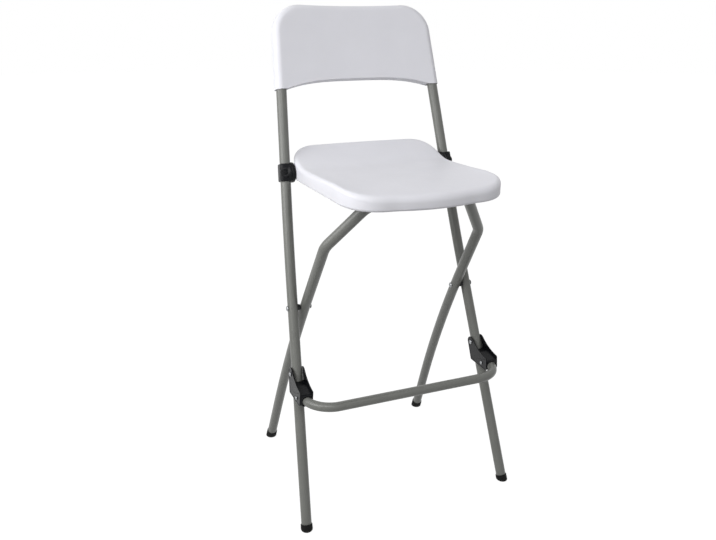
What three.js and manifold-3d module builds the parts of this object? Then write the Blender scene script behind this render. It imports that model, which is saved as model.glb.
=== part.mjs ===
// Folding bar stool: a tapered hairpin front frame carries the backrest, a second hairpin crosses it
// at a scissor pivot and reaches under the seat, and a U-shaped footrest hinges on the front legs.
// Millimetres, +Z up, the sitter faces -Y. The origin is on the floor, midway between the extremes.

import * as THREE from 'three';
import { mergeVertices } from 'three/addons/utils/BufferGeometryUtils.js';
import Module from 'manifold-3d';

const wasm = await Module();
wasm.setup();

// Clearances, and how finely round things are cut
const gap = 0.3;
const cutOverrun = 6;
const mergeTolerance = 0.0005;
const tubeSides = 14;
const pinSides = 14;
const hubSides = 24;
const bendSteps = 5;
const gentleBendSteps = 4;

// Frame tube
const tubeDiameter = 22;
const tubeWall = 1.2;
const tubeRadius = tubeDiameter / 2;

// Heights: those of the frame follow the seat's pivot
const seatPivotHeight = 708;
const seatPivotRiseHeight = 270;
const scissorHeight = seatPivotHeight - seatPivotRiseHeight;
const backTopRiseHeight = 336;
const backTopHeight = seatPivotHeight + backTopRiseHeight;

// Scissor pivot, where the two frames cross: it lies above the origin
const scissorSpacing = 26.9;
const scissorRivetDiameter = 6;
const scissorHeadDiameter = 12;
const scissorHeadHeight = 3;
const scissorSpacerDiameter = 13;

// Front frame: legs, a slight bend, and the upper tubes that carry the backrest
const frontLegLean = THREE.MathUtils.degToRad(19.6502);
const frontFootHalfWidth = 238.6;
const frontBendOffset = 138;
const frontBendHeight = scissorHeight + frontBendOffset;
const frontBendRadius = 4000;
const backLean = THREE.MathUtils.degToRad(16.49);
const crownCover = 17;
const crownHeight = backTopHeight - crownCover;
const crownHalfWidth = 166.1;
const crownBendRadius = 52;

// Rear frame: legs with a long bend, a sharp bend inwards, and the cross bar under the seat
const rearLegLean = THREE.MathUtils.degToRad(25.0735);
const rearTaperShare = 0.0602;
const rearBendOffset = 135;
const rearBendRadius = 2800;
const shoulderOffset = 159;
const shoulderForward = 104.7;
const shoulderBendRadius = 45;
const barReachLength = 58.6;
const barForward = shoulderForward + barReachLength;
const barInsetWidth = 67.25;
const barBendRadius = 34;

// Foot caps
const capRadius = 12.4;
const capFlare = 0.2;
const frontCapHeight = 12.5;
const frontCapFloor = 7;
const rearCapHeight = 22.2;
const rearCapFloor = 8.5;
const capRound = 0.9;
const capEdgeRound = 3.6;

// Backrest: a thin moulded pocket sleeved over the crown of the front frame
const backWall = 1.4;
const backFit = 0.6;
const backHeight = 169.5;
const backBottomHeight = backTopHeight - backHeight;
const backRearRound = 6;
const backCornerRadius = 64;
const backTopMargin = 16.2;
const backTopHalfWidth = crownHalfWidth + backTopMargin;
const backTopSag = 1.5;
const backArch = 18.3;
const backArchPower = 3.2;
const backBow = 9;
const backSkirt = 30;
const backStripThickness = 2.6;
const backStripStandOff = 2;
const backScrewAbove = 20;
const backScrewDiameter = 4;
const backScrewHeadDiameter = 8;
const backScrewHeadHeight = 2.2;
const backScrewLength = 7;
const backScrewStandOff = 0.5;

// Seat: a hollow moulded panel with a raised rear lip and a drooping front edge
const seatTopOffset = 15;
const seatTop = seatPivotHeight + seatTopOffset;
const seatFrontLength = 331.9;
const seatRearLength = 43.05;
const seatSideOffset = 18.4;
const seatFrontInset = 2.2;
const seatFrontSweep = 9;
const seatRearSweep = 1;
const seatFrontCorner = 88;
const seatRearCorner = 60;
const cornerPower = 0.8;
const seatThickness = 27.5;
const seatRearThickness = 32;
const seatRecess = 9;
const seatUpperRound = 9;
const seatFrontRoll = 4;
const seatFrontRollLength = 60;
const seatLowerRound = 6;
const seatWall = 3;
const seatDish = 3;
const lipLength = 104.6;
const lipRise = 38.2;
const lipPower = 1.8;
const undersidePower = 6;
const droopLength = 110;
const droop = 7.3;
const sideRise = 7;
const sideRiseFront = 130;
const sideRiseLength = 145;
const sideRisePower = 1.5;
const ventDiameter = 8;

// Seat pivot: a collar on each front tube, with a round hub, a pin and a bush in the seat's lug
const pivotPinDiameter = 10;
const bushWall = 2.6;
const bushLength = 19;
const lugRadius = 15;
const lugLength = 24;
const hubRadius = 21.3;
const hubRound = 2.5;
const hubStandOff = 0.9;
const collarWidth = 27;
const collarDepth = 29;
const collarHeight = 37;
const collarCorner = 8;
const collarBevel = 1.4;
const bossRadius = 10.6;
const bossHeight = 1.8;
const bossTurn = THREE.MathUtils.degToRad(15);
const recessRadius = 5.6;
const recessDepth = 3.6;
const collarScrewHeadDiameter = 9;
const collarScrewHeadHeight = 2.6;
const collarScrewDiameter = 4.5;
const collarScrewLength = 8;

// Slide under the seat: nylon spools on the cross bar run along two flat runners
const spoolPlaceShare = 0.56;
const spoolWall = 2.2;
const spoolFlange = 1.7;
const spoolFlangeWidth = 3;
const runnerWidth = 22;
const runnerThickness = 2.4;
const runnerRear = 24;
const runnerStopThickness = 9;
const runnerStopDrop = 22;
const runnerScrewDiameter = 4;
const runnerScrewHeadDiameter = 7.6;
const runnerScrewLength = 12;
const runnerScrewShares = [0.03, 0.47, 0.97];
const pillarRadius = 5.5;

// Footrest: a U of thinner tube held by two hinged saddles on the front legs
const footrestDiameter = 19.4;
const footrestWall = 1.2;
const footrestDropHeight = 161.5;
const footrestHeight = scissorHeight - footrestDropHeight;
const footrestReach = 99.6;
const footrestBendRadius = 57;
const footrestPivotOffset = 32.5;
const footrestPivotHeight = footrestHeight + footrestPivotOffset;
const saddleWingGap = 1.3;
const saddleWingThickness = 2.2;
const saddleTopRadius = 13.5;
const saddleFrontReach = 56.3;
const saddleRearReach = 12.2;
const saddleTopOffset = 20.5;
const saddleBottomOffset = 10.5;
const saddleWebOffset = 13.5;
const saddleCorner = 4;
const saddleArcStart = 0;
const saddleArcEnd = THREE.MathUtils.degToRad(130);
const saddleShoulderReach = 30;
const saddlePinDiameter = 6;
const saddlePinHeadDiameter = 10;
const saddlePinHeadHeight = 2.2;
const footrestRivetReach = 34.3;
const footrestRivetDiameter = 4;
const footrestRivetHeadDiameter = 8;
const footrestRivetHeadHeight = 1.8;
const footrestEndGap = 2;

// Materials
const finishes = {
  greyPaint: new THREE.MeshStandardMaterial({ color: 0x7b7c77, roughness: 0.42, metalness: 0.25 }),
  whitePlastic: new THREE.MeshStandardMaterial({ color: 0xe4e4e7, roughness: 0.5, metalness: 0 }),
  blackPlastic: new THREE.MeshStandardMaterial({ color: 0x17181b, roughness: 0.45, metalness: 0 }),
  rubber: new THREE.MeshStandardMaterial({ color: 0x141414, roughness: 0.85, metalness: 0 }),
  nylon: new THREE.MeshStandardMaterial({ color: 0x1d1e20, roughness: 0.55, metalness: 0 }),
  steel: new THREE.MeshStandardMaterial({ color: 0xb4b6b8, roughness: 0.3, metalness: 1 }),
};

const stool = new THREE.Group();
const sides = { left: -1, right: 1 };
const sideways = new THREE.Vector3(1, 0, 0);
const upwards = new THREE.Vector3(0, 0, 1);
const fullTurn = Math.PI * 2;
const quarterTurn = Math.PI / 2;

// Solids and meshes

function asSolid(geometry) {
  const bare = geometry.clone();
  bare.deleteAttribute('normal');
  bare.deleteAttribute('uv');
  const merged = mergeVertices(bare, mergeTolerance);
  return new wasm.Manifold(new wasm.Mesh({
    numProp: 3,
    vertProperties: new Float32Array(merged.attributes.position.array),
    triVerts: new Uint32Array(merged.index.array),
  }));
}

function asGeometry(solid) {
  const mesh = solid.getMesh();
  const geometry = new THREE.BufferGeometry();
  geometry.setAttribute('position', new THREE.BufferAttribute(mesh.vertProperties.slice(), 3));
  geometry.setIndex(new THREE.BufferAttribute(mesh.triVerts.slice(), 1));
  geometry.computeVertexNormals();
  return geometry;
}

function addPart(name, solid, finish) {
  const mesh = new THREE.Mesh(asGeometry(solid), finishes[finish]);
  mesh.name = name;
  stool.add(mesh);
}

// Turns geometry whose own axis is +Y so that it runs along a direction, and moves it to a place.
function aimed(geometry, direction, place) {
  const turn = new THREE.Quaternion().setFromUnitVectors(new THREE.Vector3(0, 1, 0), direction.clone().normalize());
  return geometry.applyQuaternion(turn).translate(place.x, place.y, place.z);
}

function rod(radius, length, direction, centre, count = pinSides) {
  return asSolid(aimed(new THREE.CylinderGeometry(radius, radius, length, count), direction, centre));
}

// A turned solid: profile pairs are [radius, height along the direction].
function turned(profile, direction, place, count = pinSides) {
  const points = profile.map(([radius, height]) => new THREE.Vector2(radius, height));
  return asSolid(aimed(new THREE.LatheGeometry(points, count), direction, place));
}

// A quarter round for a turned profile, from one angle to another about a centre.
function profileArc(centreRadius, centreHeight, radius, from, to, steps = 3) {
  return Array.from({ length: steps + 1 }, (_, index) => {
    const angle = from + (to - from) * index / steps;
    return [centreRadius + radius * Math.cos(angle), centreHeight + radius * Math.sin(angle)];
  });
}

// A plane shape given in (Y, Z), thickened along X between two places.
function sidePlate(shape, fromX, toX) {
  const plate = new THREE.ExtrudeGeometry(shape, { depth: Math.abs(toX - fromX), bevelEnabled: false, curveSegments: 6 });
  const turn = new THREE.Matrix4().makeBasis(
    new THREE.Vector3(0, 1, 0), new THREE.Vector3(0, 0, 1), new THREE.Vector3(1, 0, 0));
  plate.applyMatrix4(turn);
  plate.translate(Math.min(fromX, toX), 0, 0);
  return plate;
}

// Joins rings of points, and closes both ends with a pole.
function skinned(rings, firstPole, lastPole) {
  const count = rings[0].length;
  const positions = [firstPole, ...rings.flat(), lastPole].flatMap((point) => [point.x, point.y, point.z]);
  const faces = [];
  const at = (ring, index) => 1 + ring * count + index % count;
  const last = rings.length - 1;
  const end = 1 + rings.length * count;
  for (let index = 0; index < count; index += 1) {
    faces.push(0, at(0, index), at(0, index + 1));
    faces.push(end, at(last, index + 1), at(last, index));
    for (let ring = 0; ring < last; ring += 1) {
      faces.push(at(ring, index), at(ring + 1, index), at(ring + 1, index + 1));
      faces.push(at(ring, index), at(ring + 1, index + 1), at(ring, index + 1));
    }
  }
  const geometry = new THREE.BufferGeometry();
  geometry.setAttribute('position', new THREE.Float32BufferAttribute(positions, 3));
  geometry.setIndex(faces);
  return asSolid(geometry);
}

// Bent tubes

// A route through stations, each with a point and the direction of the tube there.
class TubeRoute extends THREE.Curve {
  constructor(stations) {
    super();
    this.stations = stations;
  }

  station(share) {
    return this.stations[Math.round(share * (this.stations.length - 1))];
  }

  getPoint(share, target = new THREE.Vector3()) {
    return target.copy(this.station(share).point);
  }

  getPointAt(share, target) {
    return this.getPoint(share, target);
  }

  getTangent(share, target = new THREE.Vector3()) {
    return target.copy(this.station(share).direction);
  }

  getTangentAt(share, target) {
    return this.getTangent(share, target);
  }
}

// Straight runs between corners, each corner rounded to its bend radius.
function bentStations(start, corners, end) {
  const places = [start, ...corners.map((corner) => corner.place), end];
  const stations = [];
  const direction = (index) => places[index + 1].clone().sub(places[index]).normalize();
  stations.push({ point: start.clone(), direction: direction(0) });
  corners.forEach((corner, index) => {
    const arriving = direction(index);
    const leaving = direction(index + 1);
    const bend = arriving.angleTo(leaving);
    const inward = leaving.clone().addScaledVector(arriving, -leaving.dot(arriving)).normalize();
    const from = corner.place.clone().addScaledVector(arriving, -corner.radius * Math.tan(bend / 2));
    for (let step = 0; step <= corner.steps; step += 1) {
      const angle = bend * step / corner.steps;
      stations.push({
        point: from.clone()
          .addScaledVector(arriving, corner.radius * Math.sin(angle))
          .addScaledVector(inward, corner.radius * (1 - Math.cos(angle))),
        direction: arriving.clone().multiplyScalar(Math.cos(angle)).addScaledVector(inward, Math.sin(angle)),
      });
    }
  });
  stations.push({ point: end.clone(), direction: direction(places.length - 2) });
  return stations;
}

function mirrored(stations) {
  return stations.slice().reverse().map(({ point, direction }) => ({
    point: new THREE.Vector3(-point.x, point.y, point.z),
    direction: new THREE.Vector3(direction.x, -direction.y, -direction.z),
  }));
}

function circle(radius, count) {
  return Array.from({ length: count }, (_, index) => {
    const angle = fullTurn * index / count;
    return new THREE.Vector2(radius * Math.cos(angle), radius * Math.sin(angle));
  });
}

// A tube along the stations, hollow when it has a wall.
function bentTube(stations, radius, wall = 0, count = tubeSides) {
  const section = new THREE.Shape(circle(radius, count));
  if (wall > 0) section.holes.push(new THREE.Path(circle(radius - wall, count)));
  return asSolid(new THREE.ExtrudeGeometry(section, {
    steps: stations.length - 1,
    bevelEnabled: false,
    extrudePath: new TubeRoute(stations),
  }));
}

// Where the frames lie

const frontSlope = Math.tan(frontLegLean);
const frontTaper = (frontFootHalfWidth - crownHalfWidth) / crownHeight;
const frontBendBack = frontSlope * (frontBendHeight - scissorHeight);
const backSlope = Math.tan(backLean);

function frontHalfWidth(height) {
  return frontFootHalfWidth - frontTaper * height;
}

// The rear frame stands inside the front one, and tapers less.
function rearHalfWidth(height) {
  return frontHalfWidth(scissorHeight) - scissorSpacing + rearTaperShare * (scissorHeight - height);
}

// Centre of a front tube at a height, leaving out the rounding of the slight bend.
function frontTubeAt(side, height) {
  const slope = height < frontBendHeight ? frontSlope : backSlope;
  return new THREE.Vector3(
    side * frontHalfWidth(height),
    frontBendBack + slope * (height - frontBendHeight),
    height,
  );
}

function frontDirection(side, height) {
  const slope = height < frontBendHeight ? frontSlope : backSlope;
  return new THREE.Vector3(-side * frontTaper, slope, 1).normalize();
}

const backUp = new THREE.Vector3(0, Math.sin(backLean), Math.cos(backLean));
const backRear = new THREE.Vector3(0, Math.cos(backLean), -Math.sin(backLean));
const backBase = new THREE.Vector3(0, frontBendBack, frontBendHeight);

// A place on the back: across, up along its slope, and behind its middle plane.
function backPlace(across, up, behind) {
  return backBase.clone()
    .addScaledVector(sideways, across)
    .addScaledVector(backUp, up)
    .addScaledVector(backRear, behind);
}

function upTheBack(height) {
  return (height - frontBendHeight) / Math.cos(backLean);
}

const backBottomUp = upTheBack(backBottomHeight);
const backTopUp = upTheBack(backTopHeight);
const bowHalfWidth = frontHalfWidth(backBottomHeight);

// How far the back bows behind its plane: most in the middle, nothing at the tubes.
function bow(across) {
  return backBow * (1 - (across / bowHalfWidth) ** 2);
}

// Front frame

function frontStations() {
  const foot = frontTubeAt(1, 0).addScaledVector(frontDirection(1, 0), frontCapFloor);
  const crown = backPlace(crownHalfWidth, upTheBack(crownHeight), 0);
  const middle = backPlace(0, upTheBack(crownHeight), 0);
  const half = bentStations(foot, [
    { place: frontTubeAt(1, frontBendHeight), radius: frontBendRadius, steps: gentleBendSteps },
    { place: crown, radius: crownBendRadius, steps: bendSteps },
  ], middle);
  const shellStart = half.length - bendSteps - 2;
  half.splice(shellStart, 0, {
    point: frontTubeAt(1, backBottomHeight),
    direction: frontDirection(1, backBottomHeight),
  });
  const straightStart = half[half.length - 2].point;
  const straightShares = [0.25, 0.5, 0.75];
  half.splice(half.length - 1, 0, ...straightShares.map((share) => ({
    point: straightStart.clone().lerp(middle, share),
    direction: new THREE.Vector3(-1, 0, 0),
  })));
  const bowed = half.map(({ point, direction }, index) => {
    if (index <= shellStart) return { point, direction };
    const slope = -2 * backBow * point.x / bowHalfWidth ** 2;
    return {
      point: point.clone().addScaledVector(backRear, bow(point.x)),
      direction: direction.clone().addScaledVector(backRear, slope * direction.x).normalize(),
    };
  });
  return [...bowed, ...mirrored(bowed).slice(1)];
}

const frontRoute = frontStations();

// Rear frame. The cross bar hangs below the ceiling of the seat's recess by the runner and the spool.

const spoolRadius = tubeRadius + gap + spoolWall;
const ceilingHeight = seatTop - seatThickness + seatRecess;
const runnerBottom = ceilingHeight - gap - runnerThickness;
const barHeight = runnerBottom - gap - spoolRadius;
const rearFootHalfWidth = rearHalfWidth(0);
const shoulderHeight = scissorHeight + shoulderOffset;
const barHalfWidth = rearHalfWidth(shoulderHeight) - barInsetWidth;
const rearBendHeight = scissorHeight - rearBendOffset;
const rearBendBack = shoulderForward * rearBendOffset / shoulderOffset;
const rearFootBack = rearBendBack + rearBendHeight * Math.tan(rearLegLean);
const spoolX = barHalfWidth * spoolPlaceShare;

// The tube runs straight from the long bend through the scissor pivot to the shoulder.
function rearStations() {
  const foot = new THREE.Vector3(rearFootHalfWidth, rearFootBack, 0);
  const longBend = new THREE.Vector3(rearHalfWidth(rearBendHeight), rearBendBack, rearBendHeight);
  const start = foot.clone().addScaledVector(longBend.clone().sub(foot).normalize(), rearCapFloor);
  const half = bentStations(start, [
    { place: longBend, radius: rearBendRadius, steps: gentleBendSteps },
    {
      place: new THREE.Vector3(rearHalfWidth(shoulderHeight), -shoulderForward, shoulderHeight),
      radius: shoulderBendRadius,
      steps: bendSteps,
    },
    {
      place: new THREE.Vector3(barHalfWidth, -barForward, barHeight),
      radius: barBendRadius,
      steps: bendSteps,
    },
  ], new THREE.Vector3(0, -barForward, barHeight));
  return [...half, ...mirrored(half).slice(1)];
}

const rearRoute = rearStations();
const rearLegDirection = rearRoute[0].direction;

// Centre of a rear tube at the height of the scissor pivot.
const rearPivotHalfWidth = rearHalfWidth(scissorHeight);

// Seat: it hangs on its pivots, and reaches ahead of them and behind them

const pivotBack = frontTubeAt(1, seatPivotHeight).y;
const seatFrontForward = seatFrontLength - pivotBack;
const seatRearBack = pivotBack + seatRearLength;
const seatRearHalfWidth = frontHalfWidth(seatPivotHeight) - seatSideOffset;
const seatFrontHalfWidth = seatRearHalfWidth - seatFrontInset;
const lipStart = seatRearBack - lipLength;
const seatCentre = new THREE.Vector2(0, (seatRearBack - seatFrontForward) / 2);

// The rear lip curls up by the given power of the way along it, and the front edge droops.
function seatRim(y, power) {
  const lipShare = THREE.MathUtils.clamp((y - lipStart) / (seatRearBack - lipStart), 0, 1);
  const droopShare = THREE.MathUtils.clamp((droopLength - seatFrontForward - y) / droopLength, 0, 1);
  return seatTop + lipRise * lipShare ** power - droop * droopShare ** 2;
}

// The top is dished in the middle, and its sides rise towards the front.
function seatHigh(x, y) {
  const acrossShare = Math.min(1, (x / seatRearHalfWidth) ** 2);
  const alongShare = Math.min(1, ((y - seatCentre.y) / (seatRearBack - seatCentre.y)) ** 2);
  const riseShare = THREE.MathUtils.clamp((sideRiseLength - sideRiseFront - y) / sideRiseLength, 0, 1);
  return seatRim(y, lipPower) - seatDish * (1 - acrossShare) * (1 - alongShare)
    + sideRise * acrossShare ** 2 * riseShare ** sideRisePower;
}

// The underside of the rim.
function seatLow(y) {
  const share = (y + seatFrontForward) / (seatRearBack + seatFrontForward);
  return seatRim(y, undersidePower) - seatThickness - (seatRearThickness - seatThickness) * share;
}

// A corner between two edges of the plan, slightly squarer than a circle.
function squareCorner(centreX, centreY, radius, from, steps) {
  return Array.from({ length: steps + 1 }, (_, index) => {
    const angle = from + quarterTurn * index / steps;
    const bend = (value) => Math.sign(value) * Math.abs(value) ** cornerPower;
    return new THREE.Vector2(centreX + radius * bend(Math.cos(angle)), centreY + radius * bend(Math.sin(angle)));
  });
}

// The seat's plan, from the middle of its front edge round the right side, then mirrored.
function seatPlan() {
  const frontCorner = squareCorner(
    seatFrontHalfWidth - seatFrontCorner,
    seatFrontSweep + seatFrontCorner - seatFrontForward,
    seatFrontCorner, -quarterTurn, 7);
  const rearCorner = squareCorner(
    seatRearHalfWidth - seatRearCorner,
    seatRearBack - seatRearSweep - seatRearCorner,
    seatRearCorner, 0, 6);
  const edge = (from, to, sweep, forward) => [0.25, 0.5, 0.75].map((share) => {
    const x = from + (to - from) * share;
    const reach = Math.max(Math.abs(from), Math.abs(to));
    return new THREE.Vector2(x, forward + sweep * (x / reach) ** 2);
  });
  const front = edge(0, frontCorner[0].x, seatFrontSweep, -seatFrontForward);
  const rear = edge(rearCorner[rearCorner.length - 1].x, 0, -seatRearSweep, seatRearBack);
  const sideShares = [0.2, 0.4, 0.6, 0.8];
  const sideStart = frontCorner[frontCorner.length - 1];
  const side = sideShares.map((share) => sideStart.clone().lerp(rearCorner[0], share));
  const half = [
    new THREE.Vector2(0, -seatFrontForward), ...front, ...frontCorner, ...side, ...rearCorner, ...rear,
    new THREE.Vector2(0, seatRearBack),
  ];
  const other = half.slice(1, -1).reverse().map((point) => new THREE.Vector2(-point.x, point.y));
  return [...half, ...other];
}

// Moves every point of a closed plan inwards, square to the plan's edge: insetAt gives each one's way.
function insetPlan(plan, insetAt) {
  return plan.map((point, index) => {
    const before = plan[(index + plan.length - 1) % plan.length];
    const after = plan[(index + 1) % plan.length];
    const along = after.clone().sub(before).normalize();
    const inset = insetAt(point);
    return new THREE.Vector2(point.x - along.y * inset, point.y + along.x * inset);
  });
}

// A panel with rounded edges, skinned from its high face over the rim to its low face.
// place turns a plan point, its height share (1 high, -1 low), its drop and its share of the way out
// from the centre into a place. upperRound and lowerRound give the rounding at a plan point.
function panelSolid(plan, centre, inset, upperRound, lowerRound, place, upperShares, lowerShares, roundSteps) {
  const rings = [];
  const faceRing = (round, share, level) => insetPlan(plan, (point) => inset + round(point)).map((point) => {
    const shrunk = centre.clone().lerp(point, share);
    return place(shrunk.x, shrunk.y, level, 0, share);
  });
  const roundRing = (round, angle, level) => (
    insetPlan(plan, (point) => inset + round(point) * (1 - Math.cos(angle))).map((point, index) => (
      place(point.x, point.y, level, round(plan[index]) * (1 - Math.sin(angle)), 1))));
  upperShares.forEach((share) => rings.push(faceRing(upperRound, share, 1)));
  for (let step = roundSteps; step >= 0; step -= 1) {
    rings.push(roundRing(upperRound, quarterTurn * step / roundSteps, 1));
  }
  for (let step = 0; step <= roundSteps; step += 1) {
    rings.push(roundRing(lowerRound, quarterTurn * step / roundSteps, -1));
  }
  lowerShares.slice().reverse().forEach((share) => rings.push(faceRing(lowerRound, share, -1)));
  return skinned(rings, place(centre.x, centre.y, 1, 0, 0), place(centre.x, centre.y, -1, 0, 0));
}

// The underside is recessed to a level ceiling inside the second of its shares.
function seatSolid(inset, upperShares, lowerShares, roundSteps) {
  const place = (x, y, level, drop, share) => {
    const low = share > lowerShares[1] ? seatLow(y) + drop : ceilingHeight;
    const height = level > 0 ? seatHigh(x, y) - inset - drop : low + inset;
    return new THREE.Vector3(x, y, height);
  };
  const upperRound = (point) => {
    const rollShare = (seatFrontRollLength - seatFrontForward - point.y) / seatFrontRollLength;
    return seatUpperRound + seatFrontRoll * THREE.MathUtils.clamp(rollShare, 0, 1) - inset;
  };
  const lowerRound = () => seatLowerRound - inset;
  return panelSolid(seatPlan(), seatCentre, inset, upperRound, lowerRound, place, upperShares, lowerShares, roundSteps);
}

const seatBody = seatSolid(0, [0.4, 0.65, 0.82, 0.93], [0.4, 0.82, 0.88, 0.94], 3);
const seatHollow = seatSolid(seatWall, [0.5, 0.85], [0.4, 0.84, 0.9], 1);
const seatPivot = (side) => new THREE.Vector3(side * seatRearHalfWidth, pivotBack, seatPivotHeight);
const pinRadius = pivotPinDiameter / 2;
const bushRadius = pinRadius + gap + bushWall;

function runnerFront() {
  return -barForward - spoolRadius - gap - runnerStopThickness;
}

function runnerScrewPlaces(side) {
  const rear = runnerRear - runnerScrewHeadDiameter;
  const front = -barForward;
  return runnerScrewShares.map((share) => new THREE.Vector3(side * spoolX, rear + (front - rear) * share, 0));
}

function seatPanel() {
  let panel = seatBody.subtract(seatHollow);
  for (const side of Object.values(sides)) {
    const pivot = seatPivot(side);
    const lugCentre = pivot.clone().setX(side * (seatRearHalfWidth - gap - lugLength / 2));
    panel = panel.add(rod(lugRadius, lugLength, sideways, lugCentre, hubSides));
    for (const place of runnerScrewPlaces(side)) {
      const top = seatHigh(place.x, place.y) - seatWall / 2;
      const bottom = ceilingHeight + seatWall / 2;
      const centre = place.clone().setZ((top + bottom) / 2);
      panel = panel.add(rod(pillarRadius, top - bottom, upwards, centre));
    }
  }
  for (const side of Object.values(sides)) {
    const bore = seatPivot(side);
    bore.x = side * (seatRearHalfWidth - bushLength / 2);
    panel = panel.subtract(rod(bushRadius + gap, bushLength + gap + cutOverrun, sideways, bore.clone()
      .setX(bore.x + side * (cutOverrun - gap) / 2), hubSides));
    for (const place of runnerScrewPlaces(side)) {
      const depth = runnerScrewLength - runnerThickness;
      const centre = place.clone().setZ(ceilingHeight + (depth - cutOverrun) / 2);
      panel = panel.subtract(rod(runnerScrewDiameter / 2 + gap, depth + cutOverrun, upwards, centre));
    }
  }
  const vent = new THREE.Vector3(0, 0, ceilingHeight);
  return panel.subtract(rod(ventDiameter / 2, seatWall * 2, upwards, vent));
}

// Backrest

// The plan of the backrest in its own plane, from the middle of its lower edge round the right side.
function backPlan() {
  const halfBottom = frontHalfWidth(backBottomHeight - backSkirt / 2) + tubeRadius + backFit + backWall;
  const bottomUp = backBottomUp - backSkirt;
  const skirtCorner = backSkirt / 2;
  const corner = (x, y, radius, from, steps) => Array.from({ length: steps + 1 }, (_, index) => {
    const angle = from + quarterTurn * index / steps;
    return new THREE.Vector2(x + radius * Math.cos(angle), y + radius * Math.sin(angle));
  });
  const lower = corner(halfBottom - skirtCorner, bottomUp + skirtCorner, skirtCorner, -quarterTurn, 2);
  const upper = corner(backTopHalfWidth - backCornerRadius, backTopUp - backCornerRadius, backCornerRadius, 0, 7);
  const sideShares = [0.35, 0.7];
  const side = sideShares.map((share) => lower[lower.length - 1].clone().lerp(upper[0], share));
  const acrossShares = [0.3, 0.65];
  const bottomEdge = acrossShares.map((share) => new THREE.Vector2(lower[0].x * share, bottomUp));
  const topReach = upper[upper.length - 1].x;
  const topEdge = acrossShares.slice().reverse().map((share) => (
    new THREE.Vector2(topReach * share, backTopUp - backTopSag * (1 - share ** 2))));
  const half = [new THREE.Vector2(0, bottomUp), ...bottomEdge, ...lower, ...side, ...upper, ...topEdge,
    new THREE.Vector2(0, backTopUp - backTopSag)];
  const other = half.slice(1, -1).reverse().map((point) => new THREE.Vector2(-point.x, point.y));
  return [...half, ...other];
}

// The panel follows the bow: its thickness is set off square to the bowed middle surface. Its front edge is
// rounded to the middle of the thickness, its rear edge less.
function backSolid(inset, roundSteps) {
  const half = tubeRadius + backFit + backWall - inset;
  const place = (x, y, level, low) => {
    const offset = -level * (half - low);
    const slope = -2 * backBow * x / bowHalfWidth ** 2;
    const length = Math.hypot(1, slope);
    return backPlace(x - offset * slope / length, y, bow(x) + offset / length);
  };
  const centre = new THREE.Vector2(0, (backBottomUp + backTopUp - backSkirt) / 2);
  const innerShares = [0.25, 0.5, 0.75];
  const frontRound = () => half;
  const rearRound = () => backRearRound - inset;
  return panelSolid(backPlan(), centre, inset, frontRound, rearRound, place, innerShares, innerShares, roundSteps);
}

// Everything under the arched lower edge, or under a line that far above it.
function underArch(raised = 0) {
  const halfWidth = bowHalfWidth + tubeRadius + backFit + backWall + cutOverrun;
  const steps = 12;
  const archHalfWidth = bowHalfWidth - tubeRadius;
  const shape = new THREE.Shape();
  shape.moveTo(-halfWidth, backBottomUp - backSkirt - cutOverrun);
  shape.lineTo(halfWidth, backBottomUp - backSkirt - cutOverrun);
  shape.lineTo(halfWidth, backBottomUp + raised);
  for (let step = 0; step <= steps; step += 1) {
    const across = archHalfWidth * (1 - 2 * step / steps);
    const rise = backArch * (1 - Math.abs(across / archHalfWidth) ** backArchPower);
    shape.lineTo(across, backBottomUp + raised + rise);
  }
  shape.lineTo(-halfWidth, backBottomUp + raised);
  const reach = tubeDiameter + backBow + cutOverrun;
  const prism = new THREE.ExtrudeGeometry(shape, { depth: 2 * reach, bevelEnabled: false });
  const basis = new THREE.Matrix4().makeBasis(sideways, backUp, backRear.clone().negate());
  prism.translate(0, 0, -reach);
  prism.applyMatrix4(basis);
  prism.translate(backBase.x, backBase.y, backBase.z);
  return asSolid(prism);
}

// Where each backrest screw enters, on the rear of the tube.
function backScrewSeat(side) {
  const height = backBottomHeight + backScrewAbove;
  return frontTubeAt(side, height);
}

function backrestShell() {
  let shell = backSolid(0, 4).subtract(backSolid(backWall, 4)).subtract(underArch());
  for (const side of Object.values(sides)) {
    const hole = rod(backScrewDiameter / 2 + gap, tubeDiameter, backRear,
      backScrewSeat(side).addScaledVector(backRear, tubeDiameter));
    shell = shell.subtract(hole);
  }
  return shell;
}

// The strip that closes the backrest's mouth between the tubes, flush with the arched edge.
function backrestStrip() {
  const halfWidth = bowHalfWidth - tubeRadius - backStripStandOff;
  const reach = backHeight * 4;
  const between = new THREE.BoxGeometry(2 * halfWidth, reach, reach).translate(0, backBase.y, backBottomHeight);
  return backSolid(backWall + gap, 4).intersect(underArch(backStripThickness)).subtract(underArch())
    .intersect(asSolid(between));
}

// Foot caps: turned cups pushed on the leg ends, with a level sole and a rounded lower edge.

function footCap(foot, direction, capHeight, capFloor) {
  const bore = tubeRadius + gap;
  const bottomRadius = capRadius + capFlare;
  const depth = capRadius + capFlare;
  const profile = [
    [0, -depth],
    [bottomRadius, -depth],
    [bottomRadius, 0],
    ...profileArc(capRadius - capRound, capHeight - capRound, capRound, 0, quarterTurn, 2),
    [bore, capHeight],
    [bore, capFloor - gap],
    [0, capFloor - gap],
  ];
  const reach = capHeight * 4;
  const edgeRadius = bottomRadius + gap;
  const upright = turned([
    [0, 0],
    ...profileArc(edgeRadius - capEdgeRound, capEdgeRound, capEdgeRound, -quarterTurn, 0, 3),
    [edgeRadius, reach],
    [0, reach],
  ], upwards, new THREE.Vector3(), hubSides);
  const leaning = new THREE.Matrix4().makeBasis(
    sideways, new THREE.Vector3(0, 1 / direction.z, 0), direction.clone().divideScalar(direction.z)).setPosition(foot);
  return turned(profile, direction, foot, hubSides - 4).intersect(upright.transform(leaning.elements));
}

// Seat collars: a sleeve round the tube with a screw boss in front and a round hub towards the seat.

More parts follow.
